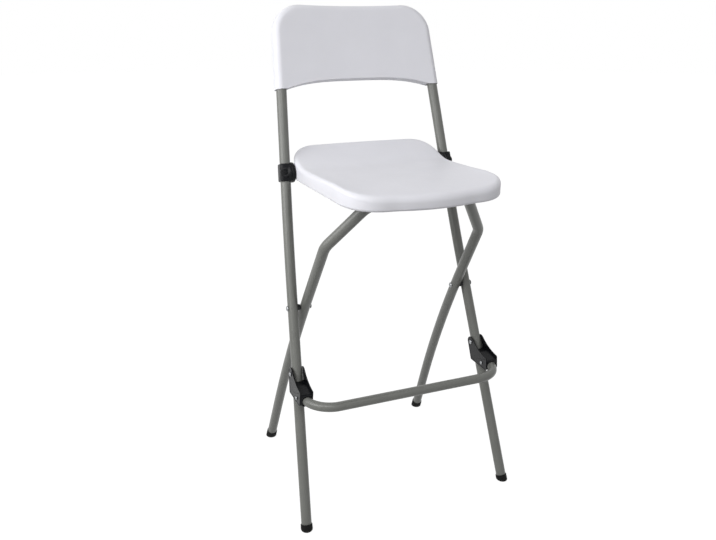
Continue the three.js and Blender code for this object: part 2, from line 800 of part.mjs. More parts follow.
// Local axes of a front tube at a height: across, rear and along, and front, which a collar's boss faces.
function tubeFrame(side, height) {
  const along = frontDirection(side, height);
  const across = sideways.clone().addScaledVector(along, -sideways.dot(along)).normalize();
  const rear = along.clone().cross(across).normalize();
  const origin = frontTubeAt(side, height);
  const front = rear.clone().multiplyScalar(-Math.cos(bossTurn)).addScaledVector(across, side * Math.sin(bossTurn));
  const matrix = new THREE.Matrix4().makeBasis(across, rear, along).setPosition(origin);
  return { along, across, rear, front, origin, matrix };
}

function roundedRectangle(width, depth, corner) {
  const shape = new THREE.Shape();
  const x = width / 2 - corner;
  const y = depth / 2 - corner;
  shape.absarc(x, y, corner, 0, quarterTurn);
  shape.absarc(-x, y, corner, quarterTurn, 2 * quarterTurn);
  shape.absarc(-x, -y, corner, 2 * quarterTurn, 3 * quarterTurn);
  shape.absarc(x, -y, corner, 3 * quarterTurn, 4 * quarterTurn);
  return shape;
}

function seatCollar(side) {
  const frame = tubeFrame(side, seatPivotHeight);
  const sleeve = new THREE.ExtrudeGeometry(
    roundedRectangle(collarWidth - 2 * collarBevel, collarDepth - 2 * collarBevel, collarCorner - collarBevel), {
      depth: collarHeight - 2 * collarBevel,
      bevelEnabled: true,
      bevelThickness: collarBevel,
      bevelSize: collarBevel,
      bevelSegments: 1,
      curveSegments: 3,
    });
  sleeve.translate(0, 0, collarBevel - collarHeight / 2);
  sleeve.applyMatrix4(frame.matrix);
  const front = frame.front;
  const bossPlace = frame.origin.clone().addScaledVector(front, collarDepth / 2 - collarBevel);
  const boss = turned([
    [0, -collarBevel],
    [bossRadius, -collarBevel],
    [bossRadius, bossHeight],
    [bossRadius - collarBevel, bossHeight + collarBevel],
    [0, bossHeight + collarBevel],
  ], front, bossPlace, hubSides);
  const hubFace = side * (seatRearHalfWidth + hubStandOff);
  const hubRoot = frame.origin.x;
  const hubLength = Math.abs(hubRoot - hubFace);
  const outward = sideways.clone().multiplyScalar(-side);
  const pivot = seatPivot(side);
  const hub = turned([
    [0, 0],
    [hubRadius - hubRound, 0],
    ...profileArc(hubRadius - hubRound, hubRound, hubRound, 0, quarterTurn, 2),
    ...profileArc(hubRadius - hubRound, hubLength - hubRound, hubRound, 0, quarterTurn, 2),
    [0, hubLength],
  ].sort((a, b) => a[1] - b[1]), outward, pivot.clone().setX(hubRoot), hubSides);
  const bore = rod(tubeRadius + gap, collarHeight + tubeDiameter, frame.along, frame.origin, tubeSides * 2);
  const pinBore = rod(pinRadius + gap, tubeDiameter, sideways, pivot.clone().setX(side * (seatRearHalfWidth + tubeDiameter / 4)));
  const mouth = bossPlace.clone().addScaledVector(front, bossHeight + collarBevel);
  const recess = rod(recessRadius, recessDepth * 2, front, mouth);
  const screwHole = rod(collarScrewDiameter / 2 + gap, tubeDiameter, front,
    frame.origin.clone().addScaledVector(front, tubeRadius));
  return asSolid(sleeve).add(boss).add(hub).subtract(bore).subtract(pinBore).subtract(recess).subtract(screwHole);
}

// The screw in front of each collar: its head sits at the bottom of the boss's recess.
function collarScrew(side) {
  const frame = tubeFrame(side, seatPivotHeight);
  const front = frame.front;
  const recessFloor = collarDepth / 2 + bossHeight - recessDepth;
  const place = frame.origin.clone().addScaledVector(front, recessFloor + gap);
  const headRadius = collarScrewHeadDiameter / 2;
  const shankRadius = collarScrewDiameter / 2;
  return turned([
    [0, -collarScrewLength],
    [shankRadius, -collarScrewLength],
    [shankRadius, 0],
    [headRadius, 0],
    [headRadius, collarScrewHeadHeight / 2],
    [headRadius / 2, collarScrewHeadHeight],
    [0, collarScrewHeadHeight],
  ], front, place);
}

function pivotPin(side) {
  const inner = seatRearHalfWidth - bushLength + gap * 2;
  const outer = frontHalfWidth(seatPivotHeight) - tubeRadius - gap;
  const centre = seatPivot(side).setX(side * (inner + outer) / 2);
  return rod(pinRadius, outer - inner, sideways, centre);
}

function pivotBush(side) {
  const length = bushLength - 2 * gap;
  const centre = seatPivot(side).setX(side * (seatRearHalfWidth - gap - length / 2));
  const outer = rod(bushRadius, length, sideways, centre, hubSides);
  return outer.subtract(rod(pinRadius + gap, length + cutOverrun, sideways, centre));
}

// Rivets across two walls: a shank with a domed head on each end, along X.
function rivet(from, to, place, diameter, headDiameter, headHeight) {
  const radius = diameter / 2;
  const headRadius = headDiameter / 2;
  const length = Math.abs(to - from);
  const middle = new THREE.Vector3((from + to) / 2, place.y, place.z);
  return turned([
    [0, -length / 2 - headHeight],
    [headRadius * 0.6, -length / 2 - headHeight * 0.8],
    [headRadius, -length / 2],
    [radius, -length / 2],
    [radius, length / 2],
    [headRadius, length / 2],
    [headRadius * 0.6, length / 2 + headHeight * 0.8],
    [0, length / 2 + headHeight],
  ], sideways, middle);
}

const scissorPlace = new THREE.Vector3(0, 0, scissorHeight);

function scissorRivet(side) {
  const outer = frontHalfWidth(scissorHeight) + tubeRadius + gap * 2;
  const inner = rearPivotHalfWidth - tubeRadius - gap * 2;
  return rivet(side * inner, side * outer, scissorPlace, scissorRivetDiameter, scissorHeadDiameter, scissorHeadHeight);
}

// The spacer hugs the front tube and ends flat against the rear one.
function scissorSpacer(side) {
  const flatEnd = rearPivotHalfWidth + tubeRadius + gap * 2;
  const hugEnd = frontHalfWidth(scissorHeight) - tubeRadius / 2;
  const place = scissorPlace.clone().setX(side * (flatEnd + hugEnd) / 2);
  const body = rod(scissorSpacerDiameter / 2, hugEnd - flatEnd, sideways, place, hubSides);
  const tube = rod(tubeRadius + gap, tubeDiameter * 2, frontDirection(side, scissorHeight - cutOverrun),
    frontTubeAt(side, scissorHeight), tubeSides * 2);
  return body.subtract(tube).subtract(rod(scissorRivetDiameter / 2 + gap, tubeDiameter * 2, sideways, place));
}

// Spools on the cross bar, and the runners that they carry

function slideSpool(side) {
  const bore = tubeRadius + gap;
  const half = runnerWidth / 2 + gap * 2;
  const flange = spoolRadius + spoolFlange;
  const profile = [
    [bore, -half - spoolFlangeWidth],
    [flange, -half - spoolFlangeWidth],
    [flange, -half],
    [spoolRadius, -half],
    [spoolRadius, half],
    [flange, half],
    [flange, half + spoolFlangeWidth],
    [bore, half + spoolFlangeWidth],
    [bore, -half - spoolFlangeWidth],
  ];
  return turned(profile, sideways, new THREE.Vector3(side * spoolX, -barForward, barHeight), hubSides);
}

function seatRunner(side) {
  const bottom = runnerBottom;
  const front = runnerFront();
  const stopRear = front + runnerStopThickness;
  const shape = new THREE.Shape();
  shape.moveTo(runnerRear, bottom + runnerThickness * 3);
  shape.lineTo(front, bottom + runnerThickness * 3);
  shape.lineTo(front, bottom - runnerStopDrop);
  shape.lineTo(stopRear - runnerStopThickness / 3, bottom - runnerStopDrop);
  shape.lineTo(stopRear, bottom - runnerStopDrop / 2);
  shape.lineTo(stopRear, bottom);
  shape.lineTo(runnerRear, bottom);
  const inner = side * (spoolX - runnerWidth / 2);
  const outer = side * (spoolX + runnerWidth / 2);
  let runner = asSolid(sidePlate(shape, inner, outer));
  const above = asSolid(asGeometry(seatBody).translate(0, 0, -gap));
  runner = runner.subtract(above);
  for (const place of runnerScrewPlaces(side)) {
    const radius = runnerScrewHeadDiameter / 2;
    const sink = turned([
      [0, -cutOverrun],
      [radius + gap, -cutOverrun],
      [radius + gap, 0],
      [runnerScrewDiameter / 2 + gap, runnerThickness],
      [runnerScrewDiameter / 2 + gap, runnerThickness + cutOverrun],
      [0, runnerThickness + cutOverrun],
    ], upwards, place.clone().setZ(bottom));
    runner = runner.subtract(sink);
  }
  return largestBody(runner);
}

// Keeps the one closed body of a cut solid that matters, and leaves its offcuts.
function largestBody(solid) {
  const bodies = solid.decompose();
  return bodies.reduce((best, body) => (body.volume() > best.volume() ? body : best));
}

function runnerScrew(place) {
  const headRadius = runnerScrewHeadDiameter / 2;
  const shankRadius = runnerScrewDiameter / 2;
  return turned([
    [0, 0],
    [headRadius, 0],
    [shankRadius, runnerThickness - gap / 2],
    [shankRadius, runnerScrewLength - gap * 2],
    [0, runnerScrewLength - gap],
  ], upwards, place.clone().setZ(runnerBottom));
}

// Footrest

const footrestRadius = footrestDiameter / 2;
const footrestHalfWidth = frontHalfWidth(footrestHeight);
const footrestLegForward = -frontTubeAt(1, footrestHeight).y;
const footrestForward = footrestLegForward + footrestReach;
const footrestRivetForward = footrestLegForward + footrestRivetReach;
const saddleFrontForward = footrestLegForward + saddleFrontReach;
const saddleRearForward = footrestLegForward - saddleRearReach;
const saddleTop = footrestHeight + saddleTopOffset;
const saddleBottom = footrestHeight - saddleBottomOffset;
const saddleHalfWidth = tubeRadius + saddleWingGap + saddleWingThickness;
const footrestPivot = frontTubeAt(1, footrestPivotHeight).setX(0);

function footrestStations() {
  const legFront = frontTubeAt(1, footrestHeight).y - tubeRadius / Math.cos(Math.atan(frontSlope));
  const lean = footrestRadius * frontSlope;
  const start = new THREE.Vector3(footrestHalfWidth, legFront - footrestEndGap - lean, footrestHeight);
  const corner = new THREE.Vector3(footrestHalfWidth, -footrestForward, footrestHeight);
  const half = bentStations(start, [{ place: corner, radius: footrestBendRadius, steps: bendSteps + 2 }],
    new THREE.Vector3(0, -footrestForward, footrestHeight));
  return [...half, ...mirrored(half).slice(1)];
}

const footrestRoute = footrestStations();

// The outline of a saddle's wing, seen from the side.
function wingShape() {
  const { y, z } = footrestPivot;
  const shape = new THREE.Shape();
  const reachX = -Math.sin(saddleArcEnd);
  const reachY = Math.cos(saddleArcEnd);
  const arcEndX = y + saddleTopRadius * Math.cos(saddleArcEnd);
  const arcEndY = z + saddleTopRadius * Math.sin(saddleArcEnd);
  shape.moveTo(-saddleRearForward, saddleBottom);
  shape.absarc(y, z, saddleTopRadius, saddleArcStart, saddleArcEnd);
  shape.quadraticCurveTo(
    arcEndX + reachX * saddleShoulderReach, arcEndY + reachY * saddleShoulderReach,
    -saddleFrontForward, saddleTop);
  shape.lineTo(-saddleFrontForward, saddleBottom + saddleCorner);
  shape.lineTo(-saddleFrontForward + saddleCorner, saddleBottom);
  return shape;
}

function webShape() {
  const legFront = frontTubeAt(1, footrestHeight).y;
  const shape = new THREE.Shape();
  shape.moveTo(legFront, saddleBottom);
  shape.lineTo(legFront, saddleTop);
  shape.lineTo(legFront - tubeDiameter, saddleTop);
  shape.lineTo(-saddleFrontForward, footrestHeight + saddleWebOffset);
  shape.lineTo(-saddleFrontForward, saddleBottom + saddleCorner);
  shape.lineTo(-saddleFrontForward + saddleCorner, saddleBottom);
  return shape;
}

// Turns a saddle about the pivot so that its wings stand parallel to the leaning leg.
function besideLeg(geometry, side) {
  const pivot = frontTubeAt(side, footrestPivotHeight);
  geometry.translate(0, -pivot.y, -pivot.z);
  geometry.applyQuaternion(new THREE.Quaternion().setFromAxisAngle(new THREE.Vector3(0, 1, 0), -side * Math.atan(frontTaper)));
  geometry.translate(pivot.x, pivot.y, pivot.z);
  return asSolid(geometry);
}

function footrestSaddle(side) {
  const inner = saddleHalfWidth - saddleWingThickness;
  const wing = (place) => besideLeg(sidePlate(wingShape(), place * inner, place * saddleHalfWidth), side);
  const web = besideLeg(sidePlate(webShape(), -inner - gap, inner + gap), side);
  const leg = rod(tubeRadius + gap, tubeDiameter * 8, frontDirection(side, 0),
    frontTubeAt(side, footrestHeight), tubeSides * 2);
  const pin = rod(saddlePinDiameter / 2 + gap, saddleHalfWidth * 3, sideways,
    footrestPivot.clone().setX(side * frontHalfWidth(footrestPivotHeight)));
  const rivetHole = rod(footrestRivetDiameter / 2 + gap, saddleHalfWidth * 3, sideways, footrestRivetPlace(side));
  const socket = bentTube(footrestRoute, footrestRadius + gap);
  return wing(1).add(wing(-1)).add(web).subtract(leg).subtract(socket).subtract(pin).subtract(rivetHole);
}

function footrestRivetPlace(side) {
  return new THREE.Vector3(side * footrestHalfWidth, -footrestRivetForward, footrestHeight);
}

function acrossSaddle(side, place, diameter, headDiameter, headHeight) {
  const middle = frontHalfWidth(place.z);
  const lean = frontTaper * headDiameter / 2;
  const reach = saddleHalfWidth + gap + lean;
  return rivet(side * (middle - reach), side * (middle + reach), place, diameter, headDiameter, headHeight);
}

// Cutting the frames for their pins

function frontFrame() {
  let frame = bentTube(frontRoute, tubeRadius, tubeWall);
  for (const side of Object.values(sides)) {
    const reach = tubeDiameter * 2;
    const bossFront = tubeFrame(side, seatPivotHeight).front;
    const collarWallPlace = frontTubeAt(side, seatPivotHeight).addScaledVector(bossFront, tubeRadius);
    const holes = [
      rod(scissorRivetDiameter / 2 + gap, reach, sideways, scissorPlace.clone().setX(side * frontHalfWidth(scissorHeight))),
      rod(saddlePinDiameter / 2 + gap, reach, sideways,
        footrestPivot.clone().setX(side * frontHalfWidth(footrestPivotHeight))),
      rod(collarScrewDiameter / 2 + gap, tubeRadius, bossFront, collarWallPlace),
      rod(backScrewDiameter / 2 + gap, tubeRadius, backRear, backScrewSeat(side).addScaledVector(backRear, tubeRadius)),
    ];
    for (const hole of holes) frame = frame.subtract(hole);
  }
  return frame;
}

function rearFrame() {
  let frame = bentTube(rearRoute, tubeRadius, tubeWall);
  for (const side of Object.values(sides)) {
    frame = frame.subtract(rod(scissorRivetDiameter / 2 + gap, tubeDiameter * 2, sideways,
      scissorPlace.clone().setX(side * rearPivotHalfWidth)));
  }
  return frame;
}

function footrestTube() {
  let tube = bentTube(footrestRoute, footrestRadius, footrestWall);
  for (const side of Object.values(sides)) {
    tube = tube.subtract(rod(footrestRivetDiameter / 2 + gap, footrestDiameter * 2, sideways, footrestRivetPlace(side)));
  }
  return tube;
}

function backScrew(side) {
  const wallOuter = tubeRadius + backFit + backWall;
  const place = backScrewSeat(side).addScaledVector(backRear, wallOuter + gap + backScrewStandOff);
  const headRadius = backScrewHeadDiameter / 2;
  const shankRadius = backScrewDiameter / 2;
  return turned([
    [0, -backScrewLength],
    [shankRadius, -backScrewLength],
    [shankRadius, 0],
    [headRadius, 0],
    [headRadius, backScrewHeadHeight / 2],
    [headRadius / 2, backScrewHeadHeight],
    [0, backScrewHeadHeight],
  ], backRear, place);
}

// The stool

addPart('front_frame_tube', frontFrame(), 'greyPaint');
addPart('rear_frame_tube', rearFrame(), 'greyPaint');
addPart('backrest_shell', backrestShell(), 'whitePlastic');
addPart('backrest_strip', backrestStrip(), 'whitePlastic');
addPart('seat_panel', seatPanel(), 'whitePlastic');
addPart('footrest_tube', footrestTube(), 'greyPaint');

for (const [name, side] of Object.entries(sides)) {
  const rearFoot = new THREE.Vector3(side * rearFootHalfWidth, rearFootBack, 0);
  const rearLeg = new THREE.Vector3(side * rearLegDirection.x, rearLegDirection.y, rearLegDirection.z);
  addPart(`front_foot_cap_${name}`,
    footCap(frontTubeAt(side, 0), frontDirection(side, 0), frontCapHeight, frontCapFloor), 'rubber');
  addPart(`rear_foot_cap_${name}`, footCap(rearFoot, rearLeg, rearCapHeight, rearCapFloor), 'rubber');
  addPart(`backrest_screw_${name}`, backScrew(side), 'steel');
  addPart(`seat_collar_${name}`, seatCollar(side), 'blackPlastic');
  addPart(`collar_screw_${name}`, collarScrew(side), 'steel');
  addPart(`seat_pivot_pin_${name}`, pivotPin(side), 'steel');
  addPart(`seat_pivot_bush_${name}`, pivotBush(side), 'nylon');
  addPart(`scissor_spacer_${name}`, scissorSpacer(side), 'nylon');
  addPart(`scissor_rivet_${name}`, scissorRivet(side), 'steel');
  addPart(`slide_spool_${name}`, slideSpool(side), 'nylon');
  addPart(`seat_runner_${name}`, seatRunner(side), 'nylon');
  runnerScrewPlaces(side).forEach((place, index) => {
    addPart(`runner_screw_${name}_${index + 1}`, runnerScrew(place), 'steel');
  });
  addPart(`footrest_saddle_${name}`, footrestSaddle(side), 'blackPlastic');
  addPart(`footrest_pivot_rivet_${name}`,
    acrossSaddle(side, footrestPivot, saddlePinDiameter, saddlePinHeadDiameter, saddlePinHeadHeight), 'steel');
  addPart(`footrest_tube_rivet_${name}`,
    acrossSaddle(side, footrestRivetPlace(side), footrestRivetDiameter, footrestRivetHeadDiameter,
      footrestRivetHeadHeight), 'steel');
}

export default stool;
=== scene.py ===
import math

import bpy
import numpy as np
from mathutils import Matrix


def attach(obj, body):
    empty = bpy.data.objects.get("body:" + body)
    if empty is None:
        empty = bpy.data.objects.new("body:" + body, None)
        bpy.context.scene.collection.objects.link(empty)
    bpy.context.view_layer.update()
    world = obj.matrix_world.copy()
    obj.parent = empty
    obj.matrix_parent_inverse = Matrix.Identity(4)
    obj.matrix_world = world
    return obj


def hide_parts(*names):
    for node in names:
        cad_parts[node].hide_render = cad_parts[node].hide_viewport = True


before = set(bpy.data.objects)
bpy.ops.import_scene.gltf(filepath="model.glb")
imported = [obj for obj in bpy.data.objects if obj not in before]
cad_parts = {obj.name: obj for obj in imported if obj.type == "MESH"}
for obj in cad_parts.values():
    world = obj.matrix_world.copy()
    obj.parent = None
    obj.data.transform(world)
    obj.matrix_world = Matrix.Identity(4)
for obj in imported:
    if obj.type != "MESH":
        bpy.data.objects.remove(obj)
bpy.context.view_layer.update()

bl_info = {
    "name": "Folding Bar Stool",
    "version": (1, 0, 0),
    "blender": (4, 5, 0),
    "location": "View3D > Sidebar > Stool",
    "description": "Builds a folding bar stool: moulded seat and back, scissor frame, hinged footrest",
    "category": "Add Mesh",
}

# Sizes are in millimetres, as on the CAD frame. Meshes are made in metres.
MM = 0.001
GAP = 0.3
SIDES = {"left": -1.0, "right": 1.0}

# Frame tube and heights above the floor
TUBE_RADIUS = 11.0
TUBE_WALL = 1.2
SEAT_PIVOT_HEIGHT = 708.0
SEAT_PIVOT_RISE = 270.0
BACK_TOP_RISE = 336.0
SCISSOR_HEIGHT = SEAT_PIVOT_HEIGHT - SEAT_PIVOT_RISE
TOP_HEIGHT = SEAT_PIVOT_HEIGHT + BACK_TOP_RISE

# Front frame
FRONT_SLOPE = math.tan(math.radians(19.6502))
FRONT_FOOT_HALF = 238.6
FRONT_BEND_OFFSET = 138.0
FRONT_BEND_HEIGHT = SCISSOR_HEIGHT + FRONT_BEND_OFFSET
FRONT_BEND_BACK = FRONT_SLOPE * FRONT_BEND_OFFSET
FRONT_BEND_RADIUS = 4000.0
BACK_LEAN = math.radians(16.49)
CROWN_COVER = 17.0
CROWN_HEIGHT = TOP_HEIGHT - CROWN_COVER
CROWN_HALF = 166.1
CROWN_BEND_RADIUS = 52.0
FRONT_TAPER = (FRONT_FOOT_HALF - CROWN_HALF) / CROWN_HEIGHT

# Rear frame
SCISSOR_SPACING = 26.9
REAR_TAPER = 0.0602
REAR_SLOPE = math.tan(math.radians(25.0735))
REAR_BEND_OFFSET = 135.0
REAR_BEND_RADIUS = 2800.0
SHOULDER_OFFSET = 159.0
SHOULDER_FORWARD = 104.7
SHOULDER_BEND_RADIUS = 45.0
REAR_BEND_HEIGHT = SCISSOR_HEIGHT - REAR_BEND_OFFSET
REAR_BEND_BACK = SHOULDER_FORWARD * REAR_BEND_OFFSET / SHOULDER_OFFSET
REAR_FOOT_BACK = REAR_BEND_BACK + REAR_BEND_HEIGHT * REAR_SLOPE
SHOULDER_HEIGHT = SCISSOR_HEIGHT + SHOULDER_OFFSET
BAR_FORWARD = 163.3
BAR_INSET = 67.25
BAR_BEND_RADIUS = 34.0

# Foot caps: the height of a cap along its leg, and where the leg ends in it
CAP_RADIUS = 12.4
CAP_FLARE = 0.2
CAP_EDGE = 3.6
FRONT_CAP = (12.5, 7.0)
REAR_CAP = (22.2, 8.5)

# Backrest
BACK_WALL = 1.4
BACK_FIT = 0.6
BACK_HALF = TUBE_RADIUS + BACK_FIT + BACK_WALL
BACK_HEIGHT = 169.5
BACK_BOTTOM_HEIGHT = TOP_HEIGHT - BACK_HEIGHT
BACK_REAR_ROUND = 6.0
BACK_CORNER = 64.0
BACK_TOP_MARGIN = 16.2
BACK_TOP_HALF = CROWN_HALF + BACK_TOP_MARGIN
BACK_TOP_SAG = 1.5
BACK_ARCH = 18.3
BACK_ARCH_POWER = 3.2
BACK_BOW = 9.0
BACK_SCREW_ABOVE = 20.0
BACK_SCREW_STAND_OFF = 0.5
STRIP_THICKNESS = 2.6
STRIP_STAND_OFF = 2.0

# Seat
SEAT_TOP_OFFSET = 15.0
SEAT_TOP = SEAT_PIVOT_HEIGHT + SEAT_TOP_OFFSET
SEAT_FRONT_LENGTH = 331.9
SEAT_REAR_LENGTH = 43.05
SEAT_SIDE_OFFSET = 18.4
SEAT_FRONT_INSET = 2.2
SEAT_THICKNESS = 27.5
SEAT_REAR_THICKNESS = 32.0
SEAT_RECESS = 9.0
RECESS_SHARES = (0.82, 0.88)
SEAT_UPPER_ROUND = 9.0
SEAT_FRONT_ROLL = 4.0
SEAT_FRONT_ROLL_LENGTH = 60.0
SEAT_LOWER_ROUND = 6.0
SEAT_DISH = 3.0
LIP_LENGTH = 104.6
LIP_RISE = 38.2
LIP_POWER = 1.8
UNDERSIDE_POWER = 6.0
DROOP_LENGTH = 110.0
DROOP = 7.3
SIDE_RISE = 7.0
SIDE_RISE_FRONT = 130.0
SIDE_RISE_LENGTH = 145.0
SIDE_RISE_POWER = 1.5
SEAT_FRONT_CORNER = 88.0
SEAT_REAR_CORNER = 60.0
CORNER_POWER = 0.8
SEAT_FRONT_SWEEP = 9.0
SEAT_REAR_SWEEP = 1.0
TACK_OFF_ACROSS = (-92.0, 0.0, 92.0)
TACK_OFF_ALONG = (-130.0, -60.0, 45.0)
TACK_OFF_RADIUS = 13.0
TACK_OFF_DEPTH = 5.5
LUG_RADIUS = 15.0
LUG_LENGTH = 24.0
PIN_RADIUS = 5.0
BUSH_LENGTH = 19.0
BUSH_RADIUS = 7.9

# Seat collars
COLLAR_WIDTH = 27.0
COLLAR_DEPTH = 29.0
COLLAR_HEIGHT = 37.0
COLLAR_CORNER = 8.0
COLLAR_ROUND = 2.4
HUB_RADIUS = 21.3
HUB_STAND_OFF = 0.9
BOSS_RADIUS = 10.6
BOSS_TOP = COLLAR_DEPTH / 2 + 1.8
BOSS_TURN = math.radians(15)
RECESS_RADIUS = 5.6
RECESS_DEPTH = 3.6

# Spacers in the scissor joints
SPACER_HOLE = 3.3
SPACER_RADIUS = 6.5

# Slide
SPOOL_WALL = 2.2
SPOOL_RADIUS = TUBE_RADIUS + GAP + SPOOL_WALL
SPOOL_SHARE = 0.56
SPOOL_FLANGE = 1.7
SPOOL_FLANGE_WIDTH = 3.0
RUNNER_WIDTH = 22.0
RUNNER_THICKNESS = 2.4
RUNNER_REAR = 24.0
RUNNER_STOP = 9.0
RUNNER_STOP_DROP = 22.0
RUNNER_SCREW_INSET = 7.6
RUNNER_SCREW_SHARES = (0.03, 0.47, 0.97)
RUNNER_SCREW_SUNK = 1.8

# Footrest
FOOTREST_RADIUS = 9.7
FOOTREST_WALL = 1.2
FOOTREST_DROP = 161.5
FOOTREST_HEIGHT = SCISSOR_HEIGHT - FOOTREST_DROP
FOOTREST_REACH = 99.6
FOOTREST_END_GAP = 2.0
FOOTREST_BEND_RADIUS = 57.0
FOOTREST_PIVOT_OFFSET = 32.5
FOOTREST_PIVOT_HEIGHT = FOOTREST_HEIGHT + FOOTREST_PIVOT_OFFSET
FOOTREST_RIVET_REACH = 34.3
SADDLE_WING_GAP = 1.3
SADDLE_WING = 2.2
SADDLE_TOP_RADIUS = 13.5
SADDLE_FRONT_REACH = 56.3
SADDLE_REAR_REACH = 12.2
SADDLE_TOP_OFFSET = 20.5
SADDLE_BOTTOM_OFFSET = 10.5
SADDLE_WEB_OFFSET = 13.5
SADDLE_WEB_LEVEL = 22.0
SADDLE_CORNER = 4.0
SADDLE_ARC_END = math.radians(130)
SADDLE_SHOULDER_REACH = 30.0
SOCKET_RADII = (12.6, 13.4)
SOCKET_RISE = 1.2
SOCKET_DEPTH = 6.0

# Fasteners. Screws: head radius and height, shank radius and length, depth of the cross
BACK_SCREW = (4.0, 2.2, 2.0, 7.0, 1.1)
COLLAR_SCREW = (4.5, 2.6, 2.25, 7.0, 1.1)
RUNNER_SCREW = (3.8, 1.8, 2.0, 9.5, 0.9)
# The cross of a screw, as shares of the head's radius, and the dome of its head
CROSS_ARM = 0.13
CROSS_REACH = 0.62
DOME_SHARE = 0.6
DOME_POWER = 2.6
# Rivets: shank radius, head radius and height
SCISSOR_RIVET = (3.0, 6.0, 3.0)
PIVOT_RIVET = (3.0, 5.0, 2.2)
TUBE_RIVET = (2.0, 4.0, 1.8)

# How finely surfaces are cut
TURN = 2 * math.pi
QUARTER = math.pi / 2
TUBE_SIDES = 56
TURNED_SIDES = 56
STRAIGHT_STEP = 24.0
BEND_STEP = 2.5
BEND_STEPS = (12, 40)
PLAN_SMOOTHINGS = 14
SEAT_POINTS = 420
SEAT_CORNER_STEPS = 40
SEAT_EDGE_STEPS = 24
SEAT_ROUND_STEPS = 10
SEAT_MIDDLE_SHARE = 0.02
SEAT_TOP_RINGS = 44
SEAT_UNDER_RINGS = (46, 13, 7)
BACK_POINTS = 260
BACK_CORNER_STEPS = 48
BACK_EDGE_STEPS = 40
BACK_ROUND_STEPS = 13
BACK_FACE_ROWS = 30
BACK_MOUTH_SPREAD = 0.35
STRIP_RINGS = 121
SCREW_SIDES = 72
SCREW_RINGS = 26
SPACER_SIDES = 64
OUTLINE_POINTS = 96
RUNNER_POINTS = 240
WING_POINTS = 220
WING_ARC_STEPS = 30
SHOULDER_STEPS = 24
WEB_POINTS = 160
WEB_RINGS = 33
CAP_ROUND_STEPS = 9

# Stage, in metres and degrees, but for the sensor in millimetres
CAMERA_PLACE = (-0.62415, -1.39303, 1.01902)
CAMERA_DOWN = 18.93
CAMERA_TURN = 22.07
SENSOR_WIDTH = 36.0
KEY_PLACE = (-2.25, -0.75, 1.8)
# Softboxes: where each stands, where it shines, and its width and height
SIDE_BOX = ((-1.25, -0.12, 1.05), (-0.1, -0.02, 0.8), (1.2, 0.7))
FRONT_BOX = ((-0.9, -1.5, 1.9), (0.0, 0.0, 0.8), (0.9, 0.9))
FLOOR_RADIUS = 14.0
FLOOR_DROP = 0.0004
FLOOR_GLOW = 1.85
FLOOR_GLOW_SHARE = 0.5


# Shapes as whole arrays

def unit(vector):
    """A vector, or rows of vectors, divided by its length."""
    vector = np.asarray(vector, float)
    return vector / np.linalg.norm(vector, axis=-1, keepdims=True)


def axes_about(direction):
    """Two unit vectors square to a direction and to each other, and the direction itself."""
    direction = unit(direction)
    helper = np.eye(3)[np.argmin(np.abs(direction))]
    first = unit(np.cross(helper, direction))
    return first, np.cross(direction, first), direction


def grid_quads(rows, columns, wrap_rows=False, wrap_columns=True):
    """Corner numbers of a grid's quads, row by row: (i, j), (i, j+1), (i+1, j+1), (i+1, j)."""
    i, j = np.meshgrid(
        np.arange(rows if wrap_rows else rows - 1),
        np.arange(columns if wrap_columns else columns - 1),
        indexing="ij",
    )
    k, n = (i + 1) % rows, (j + 1) % columns
    corners = [i * columns + j, i * columns + n, k * columns + n, k * columns + j]
    return np.stack(corners, -1).reshape(-1, 4)


def shell(vertices, quads, polygons=()):
    """A closed surface. Its signed volume, a sum of corner triple products, decides which way it turns."""
    quads = np.asarray(quads, int).reshape(-1, 4)
    a, b, c, d = (vertices[quads[:, k]] for k in range(4))
    volume = np.einsum("ij,ij->", a, np.cross(b, c)) + np.einsum("ij,ij->", a, np.cross(c, d))
    for polygon in polygons:
        fan = vertices[np.asarray(polygon)]
        hinge = np.broadcast_to(fan[0], fan[1:-1].shape)
        volume += np.einsum("ij,ij->", hinge, np.cross(fan[1:-1], fan[2:]))
    if volume < 0:
        quads = quads[:, ::-1]
        polygons = [list(polygon)[::-1] for polygon in polygons]
    return vertices, quads, [list(map(int, polygon)) for polygon in polygons]


def ring_shell(grid, closed=False):
    """Rings joined in order. A closed one joins its last ring to its first, an open one ends in flats."""
    rows, columns = grid.shape[:2]
    quads = grid_quads(rows, columns, wrap_rows=closed)
    ends = [] if closed else [np.arange(columns)[::-1], np.arange(columns) + (rows - 1) * columns]
    return shell(grid.reshape(-1, 3), quads, ends)


def pole_shell(grid, poles=None):
    """Rings joined in order, with a fan from each end ring to its pole, the ring's middle unless given."""
    rows, columns = grid.shape[:2]
    poles = [grid[0].mean(0), grid[-1].mean(0)] if poles is None else poles
    start, end, last = rows * columns, rows * columns + 1, (rows - 1) * columns
    here = np.arange(columns)
    pairs = list(zip(here, (here + 1) % columns))
    fans = [(start, b, a) for a, b in pairs] + [(end, last + a, last + b) for a, b in pairs]
    return shell(np.vstack([grid.reshape(-1, 3), *poles]), grid_quads(rows, columns), fans)


def softened(corners, closed=False, steps=5):
    """Each (x, y, round) corner becomes the quadratic curve that meets its sides at that distance."""
    corners = np.asarray(corners, float)
    places, rounds = corners[:, :2], corners[:, 2]
    before, after = np.roll(places, 1, axis=0), np.roll(places, -1, axis=0)
    share = np.linspace(0, 1, steps)[:, None]
    out = []
    for index, (place, size) in enumerate(zip(places, rounds)):
        at_end = not closed and index in (0, len(places) - 1)
        if size == 0 or at_end:
            out.append(place[None])
            continue
        start = place + unit(before[index] - place) * size
        end = place + unit(after[index] - place) * size
        out.append((1 - share) ** 2 * start + 2 * share * (1 - share) * place + share ** 2 * end)
    return np.vstack(out)


